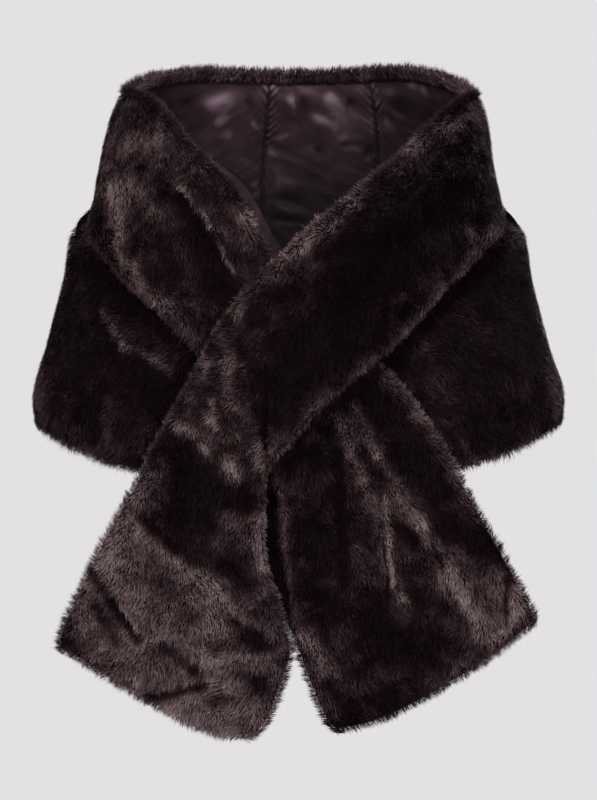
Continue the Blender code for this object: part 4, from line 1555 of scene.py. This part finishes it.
def nearest_seam(s, seams):
    """How far the nearest lining seam is, and a number for its side."""
    from_seam, side_of = np.full_like(s, FAR), np.zeros_like(s)
    for seam in seams:
        nearer = np.abs(s - seam) < from_seam
        from_seam = np.where(nearer, np.abs(s - seam), from_seam)
        side_of = np.where(nearer, np.sign(s - seam) + SEAM_SIDES * seam, side_of)
    return from_seam, side_of


def satin_wall(name, points, normals, rise, side, finish, fold):
    """A lining's wall, its slack raised off the fur that it lies inside."""
    outer = points - normals * (LINING_DEPTH + rise * OUTER_SHARE)[..., None]
    inner = points - normals * (LINING_DEPTH + LINING_WALL + rise)[..., None]
    return wall_piece(name + "_satin", outer, inner, side, [finish], fold)


def back_linings(finish):
    """The three satin panels inside the back, puckered along the seams between them."""
    back, back_length = back_surface()
    seams = lining_seams(back, back_length)
    bounds = (0.0, *seams, back_length)
    top, low = RIM_DROP / BACK_DROP, 1.0 - HEM_DROP / BACK_DROP
    upper_rows, middle, lower_rows = LINING_ROWS
    upper, lower = np.linspace(top, middle, upper_rows), np.linspace(middle, low, lower_rows)
    v_places = np.concatenate([upper, lower[1:]])
    starting, ending = LINING_EDGES
    made = {}
    for name, start, end in zip(BACK_LININGS, bounds[:-1], bounds[1:]):
        s_places = lining_grid(start + SEAM_GAP / 2, end - SEAM_GAP / 2, LINING_BUNCHING)
        s, v = np.meshgrid(s_places, v_places, indexing="ij")
        points = back(s, v)
        normals = face_normals(back, 1, s, v, (0.0, back_length))
        shown = points - normals * FUR_WALL
        slack, ridges = creased(shown, CREASES), ridged(shown)
        from_seam, side_of = nearest_seam(s, seams)
        puckers = puckered(shown, from_seam, side_of)
        sink = np.exp(-((from_seam / SEAM_SINK_REACH) ** 2))
        # Painted shade and highlight: the satin is lighter where creases, puckers and ridges stand out,
        # darker where they sink and at the seams.
        fold = FLAT_FOLD_SHADE + SLACK_FOLD_SHADE * slack + SLACK_FOLD_SHADE * puckers
        fold = fold + RIDGE_FOLD_SHADE * (ridges - RIDGE_FLAT) - SINK_FOLD_SHADE * sink
        rise = LINING_LOFT + slack + uneven(shown, "lining swells") + RIDGE_HEIGHT * ridges
        rise += puckers - SEAM_SINK * sink
        rise *= smooth((v - top) / starting) * smooth((low - v) / ending)
        made[name] = satin_wall(name, points, normals, np.maximum(rise, 0.0), 1, finish, fold)
    return made


def band_lining(band, finish):
    """The satin behind the left band, turned up past the fur's neck edge near the side seam."""
    sections, lips = np.array(LINING_LIP).T
    s_places = lining_grid(*band["reach"], 0.0)
    s_places = s_places[s_places < band["knots"][BAND_LINING_KNOTS]]
    breadth = band["width"](s_places)
    lip = np.interp(np.interp(s_places, band["knots"], np.arange(len(band["knots"]))), sections, lips)
    part = np.linspace(0.0, 1.0, BAND_LINING_ROWS)[None, :]
    reach = (BAND_LINING_SHARE * breadth + lip)[:, None]
    s = np.repeat(s_places[:, None], part.shape[1], axis=1)
    v = (part * reach - lip[:, None]) / breadth[:, None]
    points = band["surface"](s, v)
    normals = face_normals(band["surface"], band["side"], s, v, band["seams"])
    points = points + normals * fold_heights(points, FOLDS["left_band"])[..., None]
    across, slant = PLEAT_STRETCH * v * breadth[:, None], s - PLEAT_SLANT * v * breadth[:, None]
    pleats = uneven(np.stack([0.0 * s, across, slant], axis=-1), "band lining pleats")
    rise = BAND_LINING_LOFT + uneven(points, "band lining swells") + PLEAT_HEIGHT * pleats
    starting, ending = BAND_LINING_EDGES
    rise = np.maximum(rise, 0.0) * smooth(part * starting) * smooth((1.0 - part) * ending)
    # Painted shade and highlight of the band lining's pleats.
    fold = FLAT_FOLD_SHADE + PLEAT_FOLD_SHADE * pleats
    return satin_wall("lining_left_band", points, normals, rise, band["side"], finish, fold)


def seam_stitches(finish):
    """Small stitches down the two seams of the back's lining."""
    back, back_length = back_surface()
    v = np.arange(RIM_DROP + STITCH_INSET, BACK_DROP - HEM_DROP - STITCH_INSET, STITCH_STEP) / BACK_DROP
    corners = np.array([[1, 0, 0], [0, 1, 0], [0, 0, 1], [-1, 0, 0], [0, -1, 0], [0, 0, -1]])
    half_sizes = np.array([STITCH_HALF_WIDTH, STITCH_HALF_WIDTH, STITCH_SHARE * STITCH_STEP])
    sides = ((0, 1, 2), (1, 3, 2), (3, 4, 2), (4, 0, 2), (1, 0, 5), (3, 1, 5), (4, 3, 5), (0, 4, 5))
    centres = []
    for seam in lining_seams(back, back_length):
        s = np.full_like(v, seam)
        depth = LINING_DEPTH + LINING_WALL + STITCH_PROUD
        centres.append(back(s, v) - face_normals(back, 1, s, v) * depth)
    centres = np.concatenate(centres)
    points = (centres[:, None] + corners * half_sizes).reshape(-1, 3)
    faces = (len(corners) * np.arange(len(centres))[:, None, None] + np.array(sides)).reshape(-1, 3)
    mesh = flat_mesh("lining_stitches", points, faces)
    mesh.materials.append(finish)
    return show("lining_stitches", mesh)


def aim_camera():
    camera = bpy.data.objects.new("camera", bpy.data.cameras.new("camera"))
    camera.data.lens = CAMERA_LENS
    camera.data.sensor_width = CAMERA_SENSOR
    camera.location = CAMERA_PLACE
    camera.rotation_euler = (np.radians(90.0), 0.0, 0.0)
    bpy.context.scene.collection.objects.link(camera)
    bpy.context.scene.camera = camera
    bpy.context.scene.view_settings.view_transform = "Standard"


def light_room():
    """Light grey surroundings, which light the stole less than they show to the camera."""
    world = bpy.data.worlds.new("light grey room")
    world.use_nodes = True
    background = world.node_tree.nodes["Background"]
    background.inputs["Color"].default_value = (*ROOM_COLOUR, 1.0)
    rays = world.node_tree.nodes.new("ShaderNodeLightPath")
    strength = world.node_tree.nodes.new("ShaderNodeMapRange")
    strength.inputs["To Min"].default_value = ROOM_LIGHT
    world.node_tree.links.new(rays.outputs["Is Camera Ray"], strength.inputs["Value"])
    world.node_tree.links.new(strength.outputs["Result"], background.inputs["Strength"])
    bpy.context.scene.world = world


def hang_lamps():
    for name, place, size, power in LAMPS:
        lamp = bpy.data.objects.new(name, bpy.data.lights.new(name, "AREA"))
        lamp.data.size = size
        lamp.data.energy = power
        lamp.location = place
        aim = Vector(LAMP_AIM) - lamp.location
        lamp.rotation_euler = aim.to_track_quat("-Z", "Y").to_euler()
        bpy.context.scene.collection.objects.link(lamp)


def lay_floor():
    """A pale round floor, far below the stole, which fades out towards its edge."""
    bpy.ops.mesh.primitive_circle_add(
        vertices=FLOOR_SIDES, radius=FLOOR_RADIUS, fill_type="NGON", location=(0.0, 0.0, FLOOR_HEIGHT)
    )
    floor = bpy.context.object
    floor.name = "floor"
    paint = Finish("pale floor", Roughness=0.9, Specular_IOR_Level=0.1)
    distance = paint.add("ShaderNodeVectorMath", {"operation": "LENGTH"}, {0: paint.place()}, "Value")
    mottled = paint.surface_noise(*FLOOR_NOISE)
    fading = paint.eased(distance, FLOOR_CLEAR_SHARE * FLOOR_RADIUS, FLOOR_RADIUS, 1.0, 0.0)
    colour = paint.ramp(FLOOR_COLOURS, mottled)
    floor.data.materials.append(paint.wear(Base_Color=colour, Alpha=fading))


def settle(piece, node):
    """Hangs a sewn piece on the root, and hides the part of model.glb that it stands for."""
    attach(piece, "root")
    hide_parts(node)


def dress_furs(cloths, rng):
    """Each fur node's cloth with its dense under-fur, and its hairs."""
    hairs, under_fur = pile_finish(), bed_finish()
    hidden_satin = satin_finish("satin behind the fur", gloss=0.12, depth_shade=0.9, side_shade=1.0)
    for name, cut in FUR_CUTS.items():
        piece = cloths[name]
        outer, inner, turned, fold = bed_faces(piece)
        finishes = [under_fur, hidden_satin]
        fur = wall_piece(name + "_fur", outer, inner, piece["side"], finishes, fold, turned)
        pile = pile_piece(piece, hairs, rng)
        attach(pile, "root")
        settle(fur, name)


def dress_linings(cloths):
    """Each lining node's creased satin, and the stitches of the back's two lining seams."""
    stitches = seam_stitches(thread_finish())
    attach(stitches, "root")
    satin = satin_finish("satin lining", gloss=0.1, depth_shade=0.1, side_shade=0.36)
    band_satin = satin_finish("satin lining in the shade", gloss=0.05, depth_shade=0.4, side_shade=0.36)
    linings = back_linings(satin)
    linings["lining_left_band"] = band_lining(cloths["left_band"], band_satin)
    for name, lining in linings.items():
        settle(lining, name)


def build_stole():
    cloths = fur_cloths()
    dress_furs(cloths, np.random.default_rng(SEED))
    dress_linings(cloths)


aim_camera()
light_room()
hang_lamps()
lay_floor()
build_stole()
